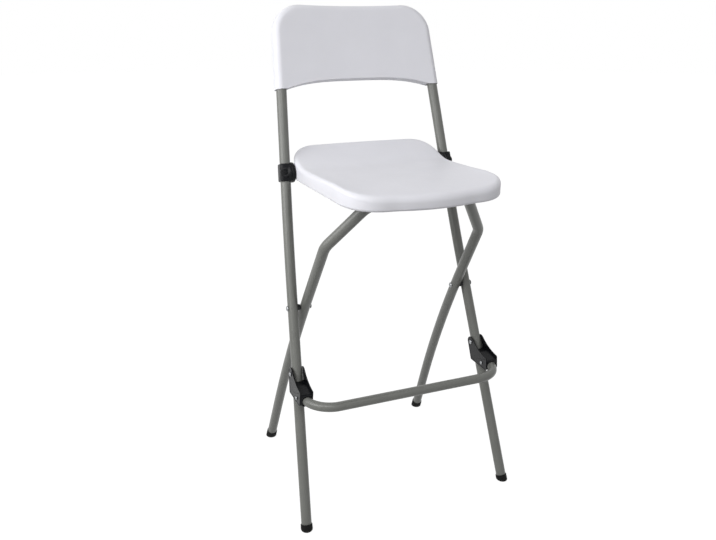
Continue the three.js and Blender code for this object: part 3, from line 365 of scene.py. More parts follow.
def circle(first, second, count):
    """Angles all the way round, and the unit circle that they give in the plane of two unit vectors."""
    angle = np.linspace(0, TURN, count, endpoint=False)
    return angle, np.cos(angle)[:, None] * first + np.sin(angle)[:, None] * second


def rings(profile, around, along, place):
    """Circles at the radius and the height of each profile point."""
    return np.asarray(place) + profile[:, None, :1] * around[None] + profile[:, None, 1:] * along


def lathe(profile, direction, place):
    """(radius, height) pairs carried round a direction. The profile closes on the axis, or on itself."""
    profile = np.asarray(profile, float)
    first, second, along = axes_about(direction)
    around = circle(first, second, TURNED_SIDES)[1]
    hollow = profile[0, 0] > 0 or profile[-1, 0] > 0
    body = profile if hollow else profile[1:-1]
    grid = rings(body, around, along, place)
    if hollow:
        return ring_shell(grid, closed=True)
    return pole_shell(grid, np.asarray(place) + profile[[0, -1], 1][:, None] * along)


def turned(corners, direction, place):
    """A lathe shape from (radius, height, round) corners. Off the axis, its profile closes on itself."""
    return lathe(softened(corners, closed=corners[0][0] > 0), direction, place)


def bent_route(places, radii):
    """Centre line of a bent tube: straight runs, and at each inner place an arc of that bend's radius."""
    places = np.asarray(places, float)
    points, directions = [], []
    cursor = places[0]
    for place, ahead, radius in zip(places[1:-1], places[2:], radii):
        arriving, leaving = unit(place - cursor), unit(ahead - place)
        bend = math.acos(np.clip(arriving @ leaving, -1, 1))
        inward = unit(leaving - arriving * (arriving @ leaving))
        begin = place - arriving * radius * math.tan(bend / 2)
        count = max(2, math.ceil(np.linalg.norm(begin - cursor) / STRAIGHT_STEP))
        share = np.linspace(0, 1, count, endpoint=False)[:, None]
        points.append(cursor + share * (begin - cursor))
        directions.append(np.repeat(arriving[None], count, 0))
        steps = int(np.clip(math.ceil(radius * bend / BEND_STEP), *BEND_STEPS))
        angle = np.linspace(0, bend, steps, endpoint=False)[:, None]
        points.append(begin + radius * (np.sin(angle) * arriving + (1 - np.cos(angle)) * inward))
        directions.append(np.cos(angle) * arriving + np.sin(angle) * inward)
        cursor = begin + radius * (math.sin(bend) * arriving + (1 - math.cos(bend)) * inward)
    count = max(2, math.ceil(np.linalg.norm(places[-1] - cursor) / STRAIGHT_STEP)) + 1
    share = np.linspace(0, 1, count)[:, None]
    points.append(cursor + share * (places[-1] - cursor))
    directions.append(np.repeat(unit(places[-1] - cursor)[None], count, 0))
    return np.vstack(points), np.vstack(directions)


def with_mirror(points, directions):
    """A half route that ends on the plane X = 0, followed by its mirror image walked backwards."""
    flip = np.array([-1.0, 1.0, 1.0])
    other_points = (points * flip)[-2::-1]
    other_directions = (directions * flip * -1)[-2::-1]
    return np.vstack([points, other_points]), np.vstack([directions, other_directions])


def tube_shell(points, directions, reference, radius, wall):
    """A hollow tube: circles square to the route at the outer radius all the way, then back at the inner one.
    Each end's rim is rounded by a third of the wall."""
    normal = unit(reference - (directions @ reference)[:, None] * directions)
    other = np.cross(directions, normal)
    angle = np.linspace(0, TURN, TUBE_SIDES, endpoint=False)
    around = np.cos(angle)[None, :, None] * normal[:, None] + np.sin(angle)[None, :, None] * other[:, None]
    soft = wall / 3
    outer = points[:, None] + radius * around
    inner = points[:, None] + (radius - wall) * around
    rims = []
    for index, sign in ((0, -1.0), (-1, 1.0)):
        step = directions[index] * sign * soft
        rims.append([
            points[index] + (radius - soft / 2) * around[index] + step * 0.7,
            points[index] + (radius - wall / 2) * around[index] + step,
            points[index] + (radius - wall + soft / 2) * around[index] + step * 0.7,
        ])
    grid = np.concatenate([outer, np.array(rims[1]), inner[::-1], np.array(rims[0])[::-1]])
    return ring_shell(grid, closed=True)


def outline_normals(outline):
    """Outward normals of a closed outline that runs anticlockwise, from each point's two neighbours."""
    along = unit(np.roll(outline, -1, axis=0) - np.roll(outline, 1, axis=0))
    return np.stack([along[:, 1], -along[:, 0]], -1)


def even_outline(outline, count, closed=True):
    """The same outline with its points spread evenly along its length."""
    line = np.vstack([outline, outline[:1]]) if closed else outline
    length = np.concatenate([[0], np.cumsum(np.linalg.norm(np.diff(line, axis=0), axis=1))])
    at = np.linspace(0, length[-1], count, endpoint=not closed)
    return np.stack([np.interp(at, length, line[:, k]) for k in range(2)], -1)


def soft_outline(corners, count, steps=5):
    """A closed outline from softened corners, with its points spread evenly."""
    return even_outline(softened(corners, closed=True, steps=steps), count)


def levels_shell(outline, levels, axes, origin):
    """A plane outline carried along its normal: each level is (distance, inset), and both ends are flat."""
    normals = outline_normals(outline)
    first, second, along = (np.asarray(axis, float) for axis in axes)
    distance, inset = np.asarray(levels, float).T
    flat = outline[None] - inset[:, None, None] * normals[None]
    grid = origin + flat[..., :1] * first + flat[..., 1:] * second + distance[:, None, None] * along
    return ring_shell(grid)


def rounded_levels(low, high, size, steps=4):
    """Levels of a plate from low to high whose two edges are quarter rounds of one size."""
    angle = np.linspace(0, QUARTER, steps)
    inset = size * (1 - np.cos(angle))
    lower = np.stack([low + size * (1 - np.sin(angle)), inset], -1)[::-1]
    upper = np.stack([high - size * (1 - np.sin(angle)), inset], -1)
    return np.vstack([lower, upper])


def leant(solid, side):
    """A shell turned about the footrest's pivot so that it stands along the leaning leg."""
    vertices, quads, polygons = solid
    pivot = front_centre(side, FOOTREST_PIVOT_HEIGHT)
    angle = -side * math.atan(FRONT_TAPER)
    c, s = math.cos(angle), math.sin(angle)
    turn = np.array([[c, 0, s], [0, 1, 0], [-s, 0, c]])
    return (vertices - pivot) @ turn.T + pivot, quads, polygons


# Where things are, by the same rules as the CAD frame

def front_half(height):
    """Half the distance between the front legs' centre lines, which lean inwards by one constant slope."""
    return FRONT_FOOT_HALF - FRONT_TAPER * height


def rear_half(height):
    """The same for the rear legs, which stand inside the front ones and have a slope of their own."""
    return front_half(SCISSOR_HEIGHT) - SCISSOR_SPACING + REAR_TAPER * (SCISSOR_HEIGHT - height)


def front_slope_at(height):
    """How far the front frame goes back for each millimetre up, below and above its long bend."""
    return FRONT_SLOPE if height < FRONT_BEND_HEIGHT else math.tan(BACK_LEAN)


def front_centre(side, height):
    """The point of a front leg's centre line at a height."""
    back = FRONT_BEND_BACK + front_slope_at(height) * (height - FRONT_BEND_HEIGHT)
    return np.array([side * front_half(height), back, height])


def front_direction(side, height):
    """The unit vector up a front leg at a height."""
    return unit([-side * FRONT_TAPER, front_slope_at(height), 1])


def rear_foot(side):
    """Where a rear leg's centre line meets the floor."""
    return np.array([side * rear_half(0), REAR_FOOT_BACK, 0])


def rear_bend(side):
    """The corner of a rear leg's long bend."""
    return np.array([side * rear_half(REAR_BEND_HEIGHT), REAR_BEND_BACK, REAR_BEND_HEIGHT])


def up_the_back(height):
    """A height as a distance up the backrest's leaning plane, from the front frame's long bend."""
    return (height - FRONT_BEND_HEIGHT) / math.cos(BACK_LEAN)


ACROSS = np.array([1.0, 0.0, 0.0])
UPWARDS = np.array([0.0, 0.0, 1.0])
SIDE_VIEW = ([0, 1, 0], [0, 0, 1], [1, 0, 0])
BACK_UP = np.array([0, math.sin(BACK_LEAN), math.cos(BACK_LEAN)])
BACK_REAR = np.array([0, math.cos(BACK_LEAN), -math.sin(BACK_LEAN)])
BACK_BASE = np.array([0, FRONT_BEND_BACK, FRONT_BEND_HEIGHT])
BACK_BOTTOM = up_the_back(BACK_BOTTOM_HEIGHT)
BOW_HALF = front_half(BACK_BOTTOM_HEIGHT)
ARCH_HALF = BOW_HALF - TUBE_RADIUS
CEILING = SEAT_TOP - SEAT_THICKNESS + SEAT_RECESS
RUNNER_BOTTOM = CEILING - GAP - RUNNER_THICKNESS
BAR_HEIGHT = RUNNER_BOTTOM - GAP - SPOOL_RADIUS
PIVOT_HALF = front_half(SEAT_PIVOT_HEIGHT)
PIVOT_BACK = front_centre(1, SEAT_PIVOT_HEIGHT)[1]
SEAT_FRONT = SEAT_FRONT_LENGTH - PIVOT_BACK
SEAT_REAR = PIVOT_BACK + SEAT_REAR_LENGTH
SEAT_REAR_HALF = PIVOT_HALF - SEAT_SIDE_OFFSET
SEAT_FRONT_HALF = SEAT_REAR_HALF - SEAT_FRONT_INSET
SEAT_MIDDLE = (SEAT_REAR - SEAT_FRONT) / 2
BAR_HALF = rear_half(SHOULDER_HEIGHT) - BAR_INSET
SPOOL_X = BAR_HALF * SPOOL_SHARE
FOOTREST_HALF = front_half(FOOTREST_HEIGHT)
FOOTREST_PIVOT_HALF = front_half(FOOTREST_PIVOT_HEIGHT)
LEG_FORWARD = -front_centre(1, FOOTREST_HEIGHT)[1]
FOOTREST_FORWARD = LEG_FORWARD + FOOTREST_REACH
SADDLE_FRONT = LEG_FORWARD + SADDLE_FRONT_REACH
SADDLE_REAR = LEG_FORWARD - SADDLE_REAR_REACH
SADDLE_TOP = FOOTREST_HEIGHT + SADDLE_TOP_OFFSET
SADDLE_BOTTOM = FOOTREST_HEIGHT - SADDLE_BOTTOM_OFFSET


def bow(across):
    """How far the back bows behind its plane: a parabola, most in the middle, nothing at the tubes."""
    return BACK_BOW * (1 - (across / BOW_HALF) ** 2)


def bow_slope(across):
    """The bow's slope, its derivative across."""
    return -2 * BACK_BOW * across / BOW_HALF ** 2


def arch(across):
    """How far the backrest's lower edge rises: a flat arch by a power law, nothing at the tubes."""
    return BACK_ARCH * (1 - np.abs(across / ARCH_HALF) ** BACK_ARCH_POWER)


def front_route():
    """Centre line of the front frame, with its crown bowed back together with the backrest."""
    foot = front_centre(1, 0) + front_direction(1, 0) * FRONT_CAP[1]
    middle = BACK_BASE + BACK_UP * up_the_back(CROWN_HEIGHT)
    places = [foot, front_centre(1, FRONT_BEND_HEIGHT), middle + ACROSS * CROWN_HALF, middle]
    points, directions = bent_route(places, [FRONT_BEND_RADIUS, CROWN_BEND_RADIUS])
    inside = (points[:, 2] > BACK_BOTTOM_HEIGHT)[:, None]
    slope = bow_slope(points[:, :1])
    points = points + inside * bow(points[:, :1]) * BACK_REAR
    directions = unit(directions + inside * slope * directions[:, :1] * BACK_REAR)
    return with_mirror(points, directions)


def rear_route():
    """Centre line of the rear frame: legs, long bend, shoulders and the cross bar under the seat."""
    places = [
        rear_foot(1) + unit(rear_bend(1) - rear_foot(1)) * REAR_CAP[1],
        rear_bend(1),
        [rear_half(SHOULDER_HEIGHT), -SHOULDER_FORWARD, SHOULDER_HEIGHT],
        [BAR_HALF, -BAR_FORWARD, BAR_HEIGHT],
        [0, -BAR_FORWARD, BAR_HEIGHT],
    ]
    return with_mirror(*bent_route(places, [REAR_BEND_RADIUS, SHOULDER_BEND_RADIUS, BAR_BEND_RADIUS]))


def footrest_route():
    """Centre line of the footrest: an arm, a quarter bend and the bar, mirrored."""
    leg_front = -LEG_FORWARD - TUBE_RADIUS / math.cos(math.atan(FRONT_SLOPE))
    places = [
        [FOOTREST_HALF, leg_front - FOOTREST_END_GAP - FOOTREST_RADIUS * FRONT_SLOPE, FOOTREST_HEIGHT],
        [FOOTREST_HALF, -FOOTREST_FORWARD, FOOTREST_HEIGHT],
        [0, -FOOTREST_FORWARD, FOOTREST_HEIGHT],
    ]
    return with_mirror(*bent_route(places, [FOOTREST_BEND_RADIUS]))


# Finishes

def linear(hex_colour):
    """An sRGB hex colour as linear channels: divided by 12.92 below 0.04045, else the 2.4 power."""
    value = hex_colour.lstrip("#")
    channels = np.array([int(value[k:k + 2], 16) for k in (0, 2, 4)]) / 255
    low = channels / 12.92
    high = ((channels + 0.055) / 1.055) ** 2.4
    return tuple(float(c) for c in np.where(channels <= 0.04045, low, high)) + (1.0,)


def shade(colour, factor=1.0):
    """A linear colour made lighter or darker by a factor."""
    red, green, blue = (min(1.0, channel * factor) for channel in colour[:3])
    return (red, green, blue, 1.0)


def bare_tree(owner):
    """The empty node tree of a material or a world."""
    owner.use_nodes = True
    owner.node_tree.nodes.clear()
    return owner.node_tree


def add_node(tree, kind, settings=None, inputs=None, links=None):
    """A node with its settings, the values of its sockets, and the sockets that feed it."""
    node = tree.nodes.new(kind)
    for name, value in (settings or {}).items():
        setattr(node, name, value)
    for socket, value in (inputs or {}).items():
        node.inputs[socket].default_value = value
    for socket, source in (links or {}).items():
        tree.links.new(source, node.inputs[socket])
    return node


class Finish:
    """A material with one shader. Noise in object coordinates feeds its colour, roughness and normal."""

    def __init__(self, name, constants):
        self.material = bpy.data.materials.new(name)
        self.tree = bare_tree(self.material)
        self.shader = add_node(self.tree, "ShaderNodeBsdfPrincipled", inputs=constants)
        add_node(self.tree, "ShaderNodeOutputMaterial", links={"Surface": self.shader.outputs["BSDF"]})
        self.place = add_node(self.tree, "ShaderNodeTexCoord").outputs["Object"]
        self.normal = {}

    def feed(self, socket, source):
        """Links a source to one of the shader's sockets."""
        self.tree.links.new(source, self.shader.inputs[socket])

    def noise(self, millimetres, detail, rough=0.5):
        """Noise whose features are that many millimetres across."""
        return add_node(
            self.tree, "ShaderNodeTexNoise",
            inputs={"Scale": 1.0 / (millimetres * MM), "Detail": detail, "Roughness": rough},
            links={"Vector": self.place},
        ).outputs["Fac"]

    def stretch(self, value, low=0.0, high=1.0, start=0.3, end=0.7):
        """A value stretched from the range start to end onto low to high."""
        return add_node(
            self.tree, "ShaderNodeMapRange",
            inputs={"From Min": start, "From Max": end, "To Min": low, "To Max": high},
            links={"Value": value},
        ).outputs["Result"]

    def two_tone(self, share, colour_a, colour_b):
        """The base colour: one colour where the share is nothing, the other where it is all."""
        mix = add_node(
            self.tree, "ShaderNodeMix", {"data_type": "RGBA"}, {6: colour_a, 7: colour_b}, {0: share})
        self.feed("Base Color", mix.outputs[2])

    def clouds(self, colour, millimetres, detail, darker, lighter):
        """A base colour that drifts between two shades of one colour."""
        share = self.stretch(self.noise(millimetres, detail))
        self.two_tone(share, shade(colour, darker), shade(colour, lighter))

    def gloss(self, millimetres, detail, least, most):
        """A roughness that drifts between two values."""
        self.feed("Roughness", self.stretch(self.noise(millimetres, detail), least, most))

    def grain(self, millimetres, detail, depth, strength):
        """Bumps of a depth in millimetres, laid over the bumps that are there already."""
        bump = add_node(
            self.tree, "ShaderNodeBump",
            inputs={"Strength": strength, "Distance": depth * MM},
            links={"Height": self.noise(millimetres, detail), **self.normal},
        )
        self.normal = {"Normal": bump.outputs["Normal"]}
        self.feed("Normal", bump.outputs["Normal"])


def powder_coat(name, colour):
    """Polyester powder coat on steel tube, sprayed and baked: a satin film with faint orange peel, real pitch
    about 1.5 mm, drawn at 2.2 mm so that it shows, and slow drifts of gloss where the film is thicker."""
    coat = Finish(name, {"IOR": 1.5, "Metallic": 0.0, "Specular IOR Level": 0.5})
    coat.clouds(colour, 45.0, 3.0, 0.94, 1.06)
    coat.gloss(9.0, 2.0, 0.3, 0.38)
    coat.grain(2.2, 1.5, 0.05, 0.35)
    coat.grain(0.7, 2.0, 0.015, 0.3)
    return coat.material


def white_moulding(name, colour):
    """Blow-moulded polyethylene: milky white with a little light under the skin, a fine spark-eroded grain
    drawn at 1.3 mm, and the slow waviness, about 0.1 mm over a hand's width, of a panel that cooled in its
    mould."""
    skin = Finish(name, {
        "IOR": 1.5, "Subsurface Weight": 0.06, "Subsurface Scale": 0.003,
        "Subsurface Radius": (1.0, 0.9, 0.8), "Specular IOR Level": 0.36,
    })
    skin.clouds(colour, 60.0, 3.0, 0.985, 1.01)
    skin.gloss(12.0, 2.0, 0.42, 0.5)
    skin.grain(95.0, 1.0, 0.12, 0.5)
    skin.grain(1.3, 2.5, 0.03, 0.4)
    return skin.material


def black_moulding(name, colour):
    """Injection-moulded polypropylene: near black, glossy where the tool was polished, with a light
    leather-like grain 1.1 mm across and paler scuffs that a hand leaves on edges."""
    skin = Finish(name, {"IOR": 1.49, "Specular IOR Level": 0.17})
    scuffs = skin.stretch(skin.noise(14.0, 4.0, 0.6), start=0.45, end=0.8)
    skin.two_tone(scuffs, shade(colour), shade(colour, 1.9))
    skin.gloss(5.0, 3.0, 0.26, 0.4)
    skin.grain(1.1, 2.0, 0.03, 0.4)
    return skin.material


def nylon_moulding(name, colour):
    """Moulded polyamide: black, even, with flow marks about 8 mm apart and a dull satin skin that sliding
    polishes."""
    skin = Finish(name, {"IOR": 1.53, "Specular IOR Level": 0.2})
    skin.clouds(colour, 8.0, 2.0, 0.85, 1.35)
    skin.gloss(3.0, 3.0, 0.38, 0.55)
    skin.grain(0.9, 2.0, 0.02, 0.35)
    return skin.material


def foot_rubber(name, colour):
    """Moulded rubber: matt black with a fine pebble, and floor dust that fades out over the lowest 6 mm."""
    skin = Finish(name, {"IOR": 1.52, "Specular IOR Level": 0.15})
    height = add_node(skin.tree, "ShaderNodeSeparateXYZ", links={"Vector": skin.place}).outputs["Z"]
    low = skin.stretch(height, 1.0, 0.0, 0.0, 0.006)
    speckle = skin.stretch(skin.noise(2.5, 4.0, 0.7), start=0.4, end=0.65)
    dust = add_node(skin.tree, "ShaderNodeMath", {"operation": "MULTIPLY"}, links={0: low, 1: speckle})
    skin.two_tone(dust.outputs[0], shade(colour), linear("#3a3936"))
    skin.gloss(4.0, 2.0, 0.62, 0.82)
    skin.grain(0.8, 3.0, 0.05, 0.5)
    return skin.material


def zinc_plate(name, colour):
    """Zinc-plated steel, cold headed: a bright metal with a cloudy passivation about 3 mm across and fine
    scratches."""
    metal = Finish(name, {"Metallic": 1.0})
    metal.clouds(colour, 3.0, 3.0, 0.85, 1.1)
    metal.gloss(1.5, 4.0, 0.22, 0.42)
    metal.grain(0.6, 2.0, 0.01, 0.4)
    return metal.material


def black_oxide(name, colour):
    """Blackened steel: a thin dark oxide, oily and uneven, over turned metal."""
    metal = Finish(name, {"Metallic": 0.7})
    metal.clouds(colour, 1.8, 3.0, 0.7, 1.5)
    metal.gloss(1.2, 3.0, 0.3, 0.5)
    metal.grain(0.6, 2.0, 0.01, 0.4)
    return metal.material


PAINT = "powder_coated_steel"
WHITE = "blow_moulded_polyethylene"
BLACK = "moulded_polypropylene"
NYLON = "moulded_polyamide"
RUBBER = "moulded_rubber"
ZINC = "zinc_plated_steel"
OXIDE = "black_oxide_steel"

# Each finish: who makes it, the name under which the panel keeps its colour, and a slot name
MAKERS = {
    PAINT: (powder_coat, "paint", "frame_paint"),
    WHITE: (white_moulding, "seat_white", "white_plastic"),
    BLACK: (black_moulding, "fitting_black", "black_plastic"),
    NYLON: (nylon_moulding, "nylon_black", "black_nylon"),
    RUBBER: (foot_rubber, "rubber_black", "foot_rubber"),
    ZINC: (zinc_plate, "zinc", "fastener_steel"),
    OXIDE: (black_oxide, "dark_steel", "dark_screw"),
}

# The materials made so far
FINISHES = {}


def finish(name):
    """The finish of one name, made the first time that it is asked for, in the colours of the panel."""
    if name not in FINISHES:
        maker, setting, _ = MAKERS[name]
        FINISHES[name] = maker(name, getattr(bpy.context.scene.stool_colours, setting))
    return FINISHES[name]


def add_piece(name, shells, finish_name, body, node, crease=32.0):
    """One object at the origin from closed shells in millimetres, riding on a body in place of a CAD node."""
    vertices, faces, first = [], [], 0
    for places, quads, polygons in shells:
        vertices.append(places)
        faces += (quads + first).tolist()
        faces += [[corner + first for corner in polygon] for polygon in polygons]
        first += len(places)
    mesh = bpy.data.meshes.new(name)
    mesh.from_pydata((np.vstack(vertices) * MM).tolist(), [], faces)
    mesh.update()
    mesh.shade_smooth()
    mesh.set_sharp_from_angle(angle=math.radians(crease))
    mesh.materials.append(finish(finish_name))
    piece = bpy.data.objects.new(name, mesh)
    bpy.context.scene.collection.objects.link(piece)
    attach(piece, body)
    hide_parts(node)
    return piece


# Seat surfaces

def with_height(flat, height):
    """Plane points with a height for each."""
    return np.concatenate([flat, height[..., None]], -1)


def seat_plan(count):
    """The seat's outline from above: a front edge swept back to squarish corners, and sides that widen to the
    rear. Each point then moves halfway to its neighbours' mean a few times, which runs the edges together."""
    steps = np.linspace(0, QUARTER, SEAT_CORNER_STEPS)

    def power(wave):
        return np.sign(wave) * np.abs(wave) ** CORNER_POWER

    def corner(x, y, radius, start):
        angle = start + steps
        return np.stack([x + radius * power(np.cos(angle)), y + radius * power(np.sin(angle))], -1)

    front = corner(
        SEAT_FRONT_HALF - SEAT_FRONT_CORNER, SEAT_FRONT_SWEEP + SEAT_FRONT_CORNER - SEAT_FRONT,
        SEAT_FRONT_CORNER, -QUARTER)
    rear = corner(
        SEAT_REAR_HALF - SEAT_REAR_CORNER, SEAT_REAR - SEAT_REAR_SWEEP - SEAT_REAR_CORNER,
        SEAT_REAR_CORNER, 0)
    share = np.linspace(0, 1, SEAT_EDGE_STEPS, endpoint=False)
    front_edge = np.stack([share * front[0, 0], -SEAT_FRONT + SEAT_FRONT_SWEEP * share ** 2], -1)
    share = share[:0:-1]
    rear_edge = np.stack([share * rear[-1, 0], SEAT_REAR - SEAT_REAR_SWEEP * share ** 2], -1)
    half = np.vstack([front_edge, front, rear, rear_edge, [[0, SEAT_REAR]]])
    plan = even_outline(np.vstack([half, half[1:-1][::-1] * [-1, 1]]), count)
    for _ in range(PLAN_SMOOTHINGS):
        plan = (np.roll(plan, 1, axis=0) + 2 * plan + np.roll(plan, -1, axis=0)) / 4
    return plan


def seat_rim(y, power=LIP_POWER):
    """Height of the seat's edge: level, with a lip that rises behind by a power law and a drooping front."""
    lip = np.clip((y - (SEAT_REAR - LIP_LENGTH)) / LIP_LENGTH, 0, 1) ** power
    droop = np.clip((DROOP_LENGTH - SEAT_FRONT - y) / DROOP_LENGTH, 0, 1) ** 2
    return SEAT_TOP + LIP_RISE * lip - DROOP * droop


def seat_high(x, y):
    """The upper face: the edge height less a shallow dish, a product of two parabolas, plus sides that rise
    to the front with a power of the way there and the fourth power of the way out."""
    across = np.minimum(1, (x / SEAT_REAR_HALF) ** 2)
    along = np.minimum(1, ((y - SEAT_MIDDLE) / (SEAT_REAR - SEAT_MIDDLE)) ** 2)
    rise = np.clip((SIDE_RISE_LENGTH - SIDE_RISE_FRONT - y) / SIDE_RISE_LENGTH, 0, 1)
    sides = SIDE_RISE * across ** 2 * rise ** SIDE_RISE_POWER
    return seat_rim(y) - SEAT_DISH * (1 - across) * (1 - along) + sides


def seat_low(y):
    """The underside of the rim, nearly level, which curls up only at the very rear."""
    share = (y + SEAT_FRONT) / (SEAT_REAR + SEAT_FRONT)
    thickness = SEAT_THICKNESS + (SEAT_REAR_THICKNESS - SEAT_THICKNESS) * share
    return seat_rim(y, UNDERSIDE_POWER) - thickness


def under_height(x, y, share):
    """The underside: the rim's, and inside it a level ceiling. A cubic step leads from one to the other."""
    start, end = RECESS_SHARES
    t = np.clip((share - start) / (end - start), 0, 1)
    step = t * t * (3 - 2 * t)
    return (CEILING + tack_offs(x, y)) * (1 - step) + seat_low(y) * step


def tack_offs(x, y):
    """Round dimples in the underside, where both skins are pressed together: raised cosines."""
    depth = np.zeros_like(x)
    for centre_x in TACK_OFF_ACROSS:
        for centre_y in TACK_OFF_ALONG:
            distance = np.hypot(x - centre_x, y - centre_y)
            wave = TACK_OFF_DEPTH * (0.5 + 0.5 * np.cos(math.pi * distance / TACK_OFF_RADIUS))
            depth += np.where(distance < TACK_OFF_RADIUS, wave, 0)
    return depth


def seat_shells():
    """The seat as one skin: rings shrink from the rim to the middle of each face, quarter rounds between.
    The hinge lugs are rings with rounded rims, open where the bush sits."""
    plan = seat_plan(SEAT_POINTS)
    normals = outline_normals(plan)
    centre = np.array([0, SEAT_MIDDLE])
    angle = np.linspace(0, QUARTER, SEAT_ROUND_STEPS)

    def face_rings(round_size, shares):
        edge = plan - normals * round_size
        return centre + (edge - centre)[None] * shares[:, None, None]

    def edge_rings(round_size, turn):
        inset = round_size * (1 - np.cos(turn))[:, None]
        return plan[None] - inset[..., None] * normals[None], round_size * (1 - np.sin(turn))[:, None]

    roll = np.clip((SEAT_FRONT_ROLL_LENGTH - SEAT_FRONT - plan[:, 1]) / SEAT_FRONT_ROLL_LENGTH, 0, 1)
    upper_round = SEAT_UPPER_ROUND + SEAT_FRONT_ROLL * roll
    start, end = RECESS_SHARES
    upper_shares = np.linspace(SEAT_MIDDLE_SHARE, 1, SEAT_TOP_RINGS, endpoint=False)
    lower_shares = np.concatenate([
        np.linspace(inner, outer, count, endpoint=False)
        for inner, outer, count in zip((SEAT_MIDDLE_SHARE, start, end), (start, end, 1), SEAT_UNDER_RINGS)
    ])[::-1]
    top = face_rings(upper_round[:, None], upper_shares)
    top = with_height(top, seat_high(top[..., 0], top[..., 1]))
    upper, drop = edge_rings(upper_round, angle[::-1])
    upper = with_height(upper, seat_high(upper[..., 0], upper[..., 1]) - drop)
    lower, rise = edge_rings(SEAT_LOWER_ROUND, angle)
    lower = with_height(lower, seat_low(lower[..., 1]) + rise)
    under = face_rings(SEAT_LOWER_ROUND, lower_shares)
    under = with_height(under, under_height(under[..., 0], under[..., 1], lower_shares[:, None]))
    bore = BUSH_RADIUS + GAP
    lug = [(bore, 0, 0.8), (LUG_RADIUS, 0, 1.8), (LUG_RADIUS, LUG_LENGTH, 3.5), (bore, LUG_LENGTH, 0.5)]
    lugs = [turned(lug, [-side, 0, 0], lug_face(side)) for side in SIDES.values()]
    return [pole_shell(np.concatenate([top, upper, lower, under])), *lugs]


def lug_face(side):
    """Where the pivot's axis leaves the seat."""
    return [side * (SEAT_REAR_HALF - GAP), PIVOT_BACK, SEAT_PIVOT_HEIGHT]


# Backrest surfaces

def back_edge(inset):
    """The backrest's outline in its plane, from its low right end over the top to the left, and normals."""
    steps = np.linspace(0, QUARTER, BACK_CORNER_STEPS)
    top = up_the_back(TOP_HEIGHT)
    corner_x, corner_y = BACK_TOP_HALF - BACK_CORNER, top - BACK_CORNER
    corner = np.stack([corner_x + BACK_CORNER * np.cos(steps), corner_y + BACK_CORNER * np.sin(steps)], -1)
    side_start = np.array([BOW_HALF + BACK_HALF, BACK_BOTTOM])
    share = np.linspace(0, 1, BACK_EDGE_STEPS, endpoint=False)[:, None]
    side = side_start + share * (corner[0] - side_start)
    across = np.linspace(1, 0, BACK_EDGE_STEPS)[1:]
    crown = np.stack([corner_x * across, top - BACK_TOP_SAG * (1 - across ** 2)], -1)
    half = np.vstack([side, corner, crown])
    line = even_outline(np.vstack([half, (half * [-1, 1])[-2::-1]]), BACK_POINTS, closed=False)
    inner = np.ones((BACK_POINTS, 1))
    inner[[0, -1]] = 0
    along = unit(np.gradient(line, axis=0))
    along = unit(along + 0.5 * (np.roll(along, 1, 0) + np.roll(along, -1, 0)) * inner)
    normals = np.stack([along[:, 1], -along[:, 0]], -1)
    level = line - normals * inset
    level[[0, -1], 1] = BACK_BOTTOM
    return level, normals


def back_sheet(inset):
    """The pocket's sheet: from the front's arched edge up its face, over the rounded rim and down the rear.
    Each point is set off square to the bowed middle surface."""
    half = BACK_HALF - inset
    rear_round = BACK_REAR_ROUND - inset
    face_edge, _ = back_edge(inset + half)
    rear_edge, _ = back_edge(inset + rear_round)
    spread = face_edge[:, 0] / face_edge[0, 0]
    even = np.linspace(1, -1, BACK_POINTS)
    arch_x = ARCH_HALF * (BACK_MOUTH_SPREAD * spread + (1 - BACK_MOUTH_SPREAD) * even)
    arch_x *= ARCH_HALF / arch_x[0]
    mouth = np.stack([arch_x, BACK_BOTTOM + arch(arch_x)], -1)
    share = np.linspace(0, 1, BACK_FACE_ROWS, endpoint=False)[:, None, None]
    face = mouth[None] + share * (face_edge - mouth)[None]
    rear_face = mouth[None] + share[::-1] * (rear_edge - mouth)[None]
    angle = np.linspace(QUARTER, 0, BACK_ROUND_STEPS)
    turn = 1 - np.cos(angle)
    rim_inset = inset + np.concatenate([half * turn, rear_round * turn[::-1]])
    edge, normals = back_edge(0.0)
    rim = edge[None] - rim_inset[:, None, None] * normals[None]
    rim[:, [0, -1], 1] = BACK_BOTTOM
    plane = np.concatenate([face, rim, rear_face])
    ahead = np.concatenate([
        np.full(len(face), half), half * np.sin(angle),
        rear_round - half - rear_round * np.sin(angle[::-1]), np.full(len(face), -half)])[:, None]
    return on_the_back(plane[..., 0], plane[..., 1], ahead)


def on_the_back(x, up, ahead):
    """Places across and up the back, set off ahead of its bowed middle surface and square to it."""
    slope = bow_slope(x)
    length = np.hypot(1, slope)
    shifted = x + ahead * slope / length
    behind = bow(x) - ahead / length
    return BACK_BASE + shifted[..., None] * ACROSS + up[..., None] * BACK_UP + behind[..., None] * BACK_REAR


def back_strip():
    """The strip in the backrest's mouth: a rounded rectangle carried along the arch."""
    half_x = ARCH_HALF - STRIP_STAND_OFF
    half_depth = BACK_HALF - BACK_WALL - GAP
    section = soft_outline([
        (half_depth, 0, 0.8), (half_depth, STRIP_THICKNESS, 0.4),
        (-half_depth, STRIP_THICKNESS, 0.4), (-half_depth, 0, 0.8),
    ], OUTLINE_POINTS)
    across = np.linspace(half_x, -half_x, STRIP_RINGS)
    x = np.broadcast_to(across[:, None], (STRIP_RINGS, len(section)))
    up = BACK_BOTTOM + arch(x) + section[None, :, 1]
    ahead = np.broadcast_to(section[None, :, 0], x.shape)
    return ring_shell(on_the_back(x, up, ahead))


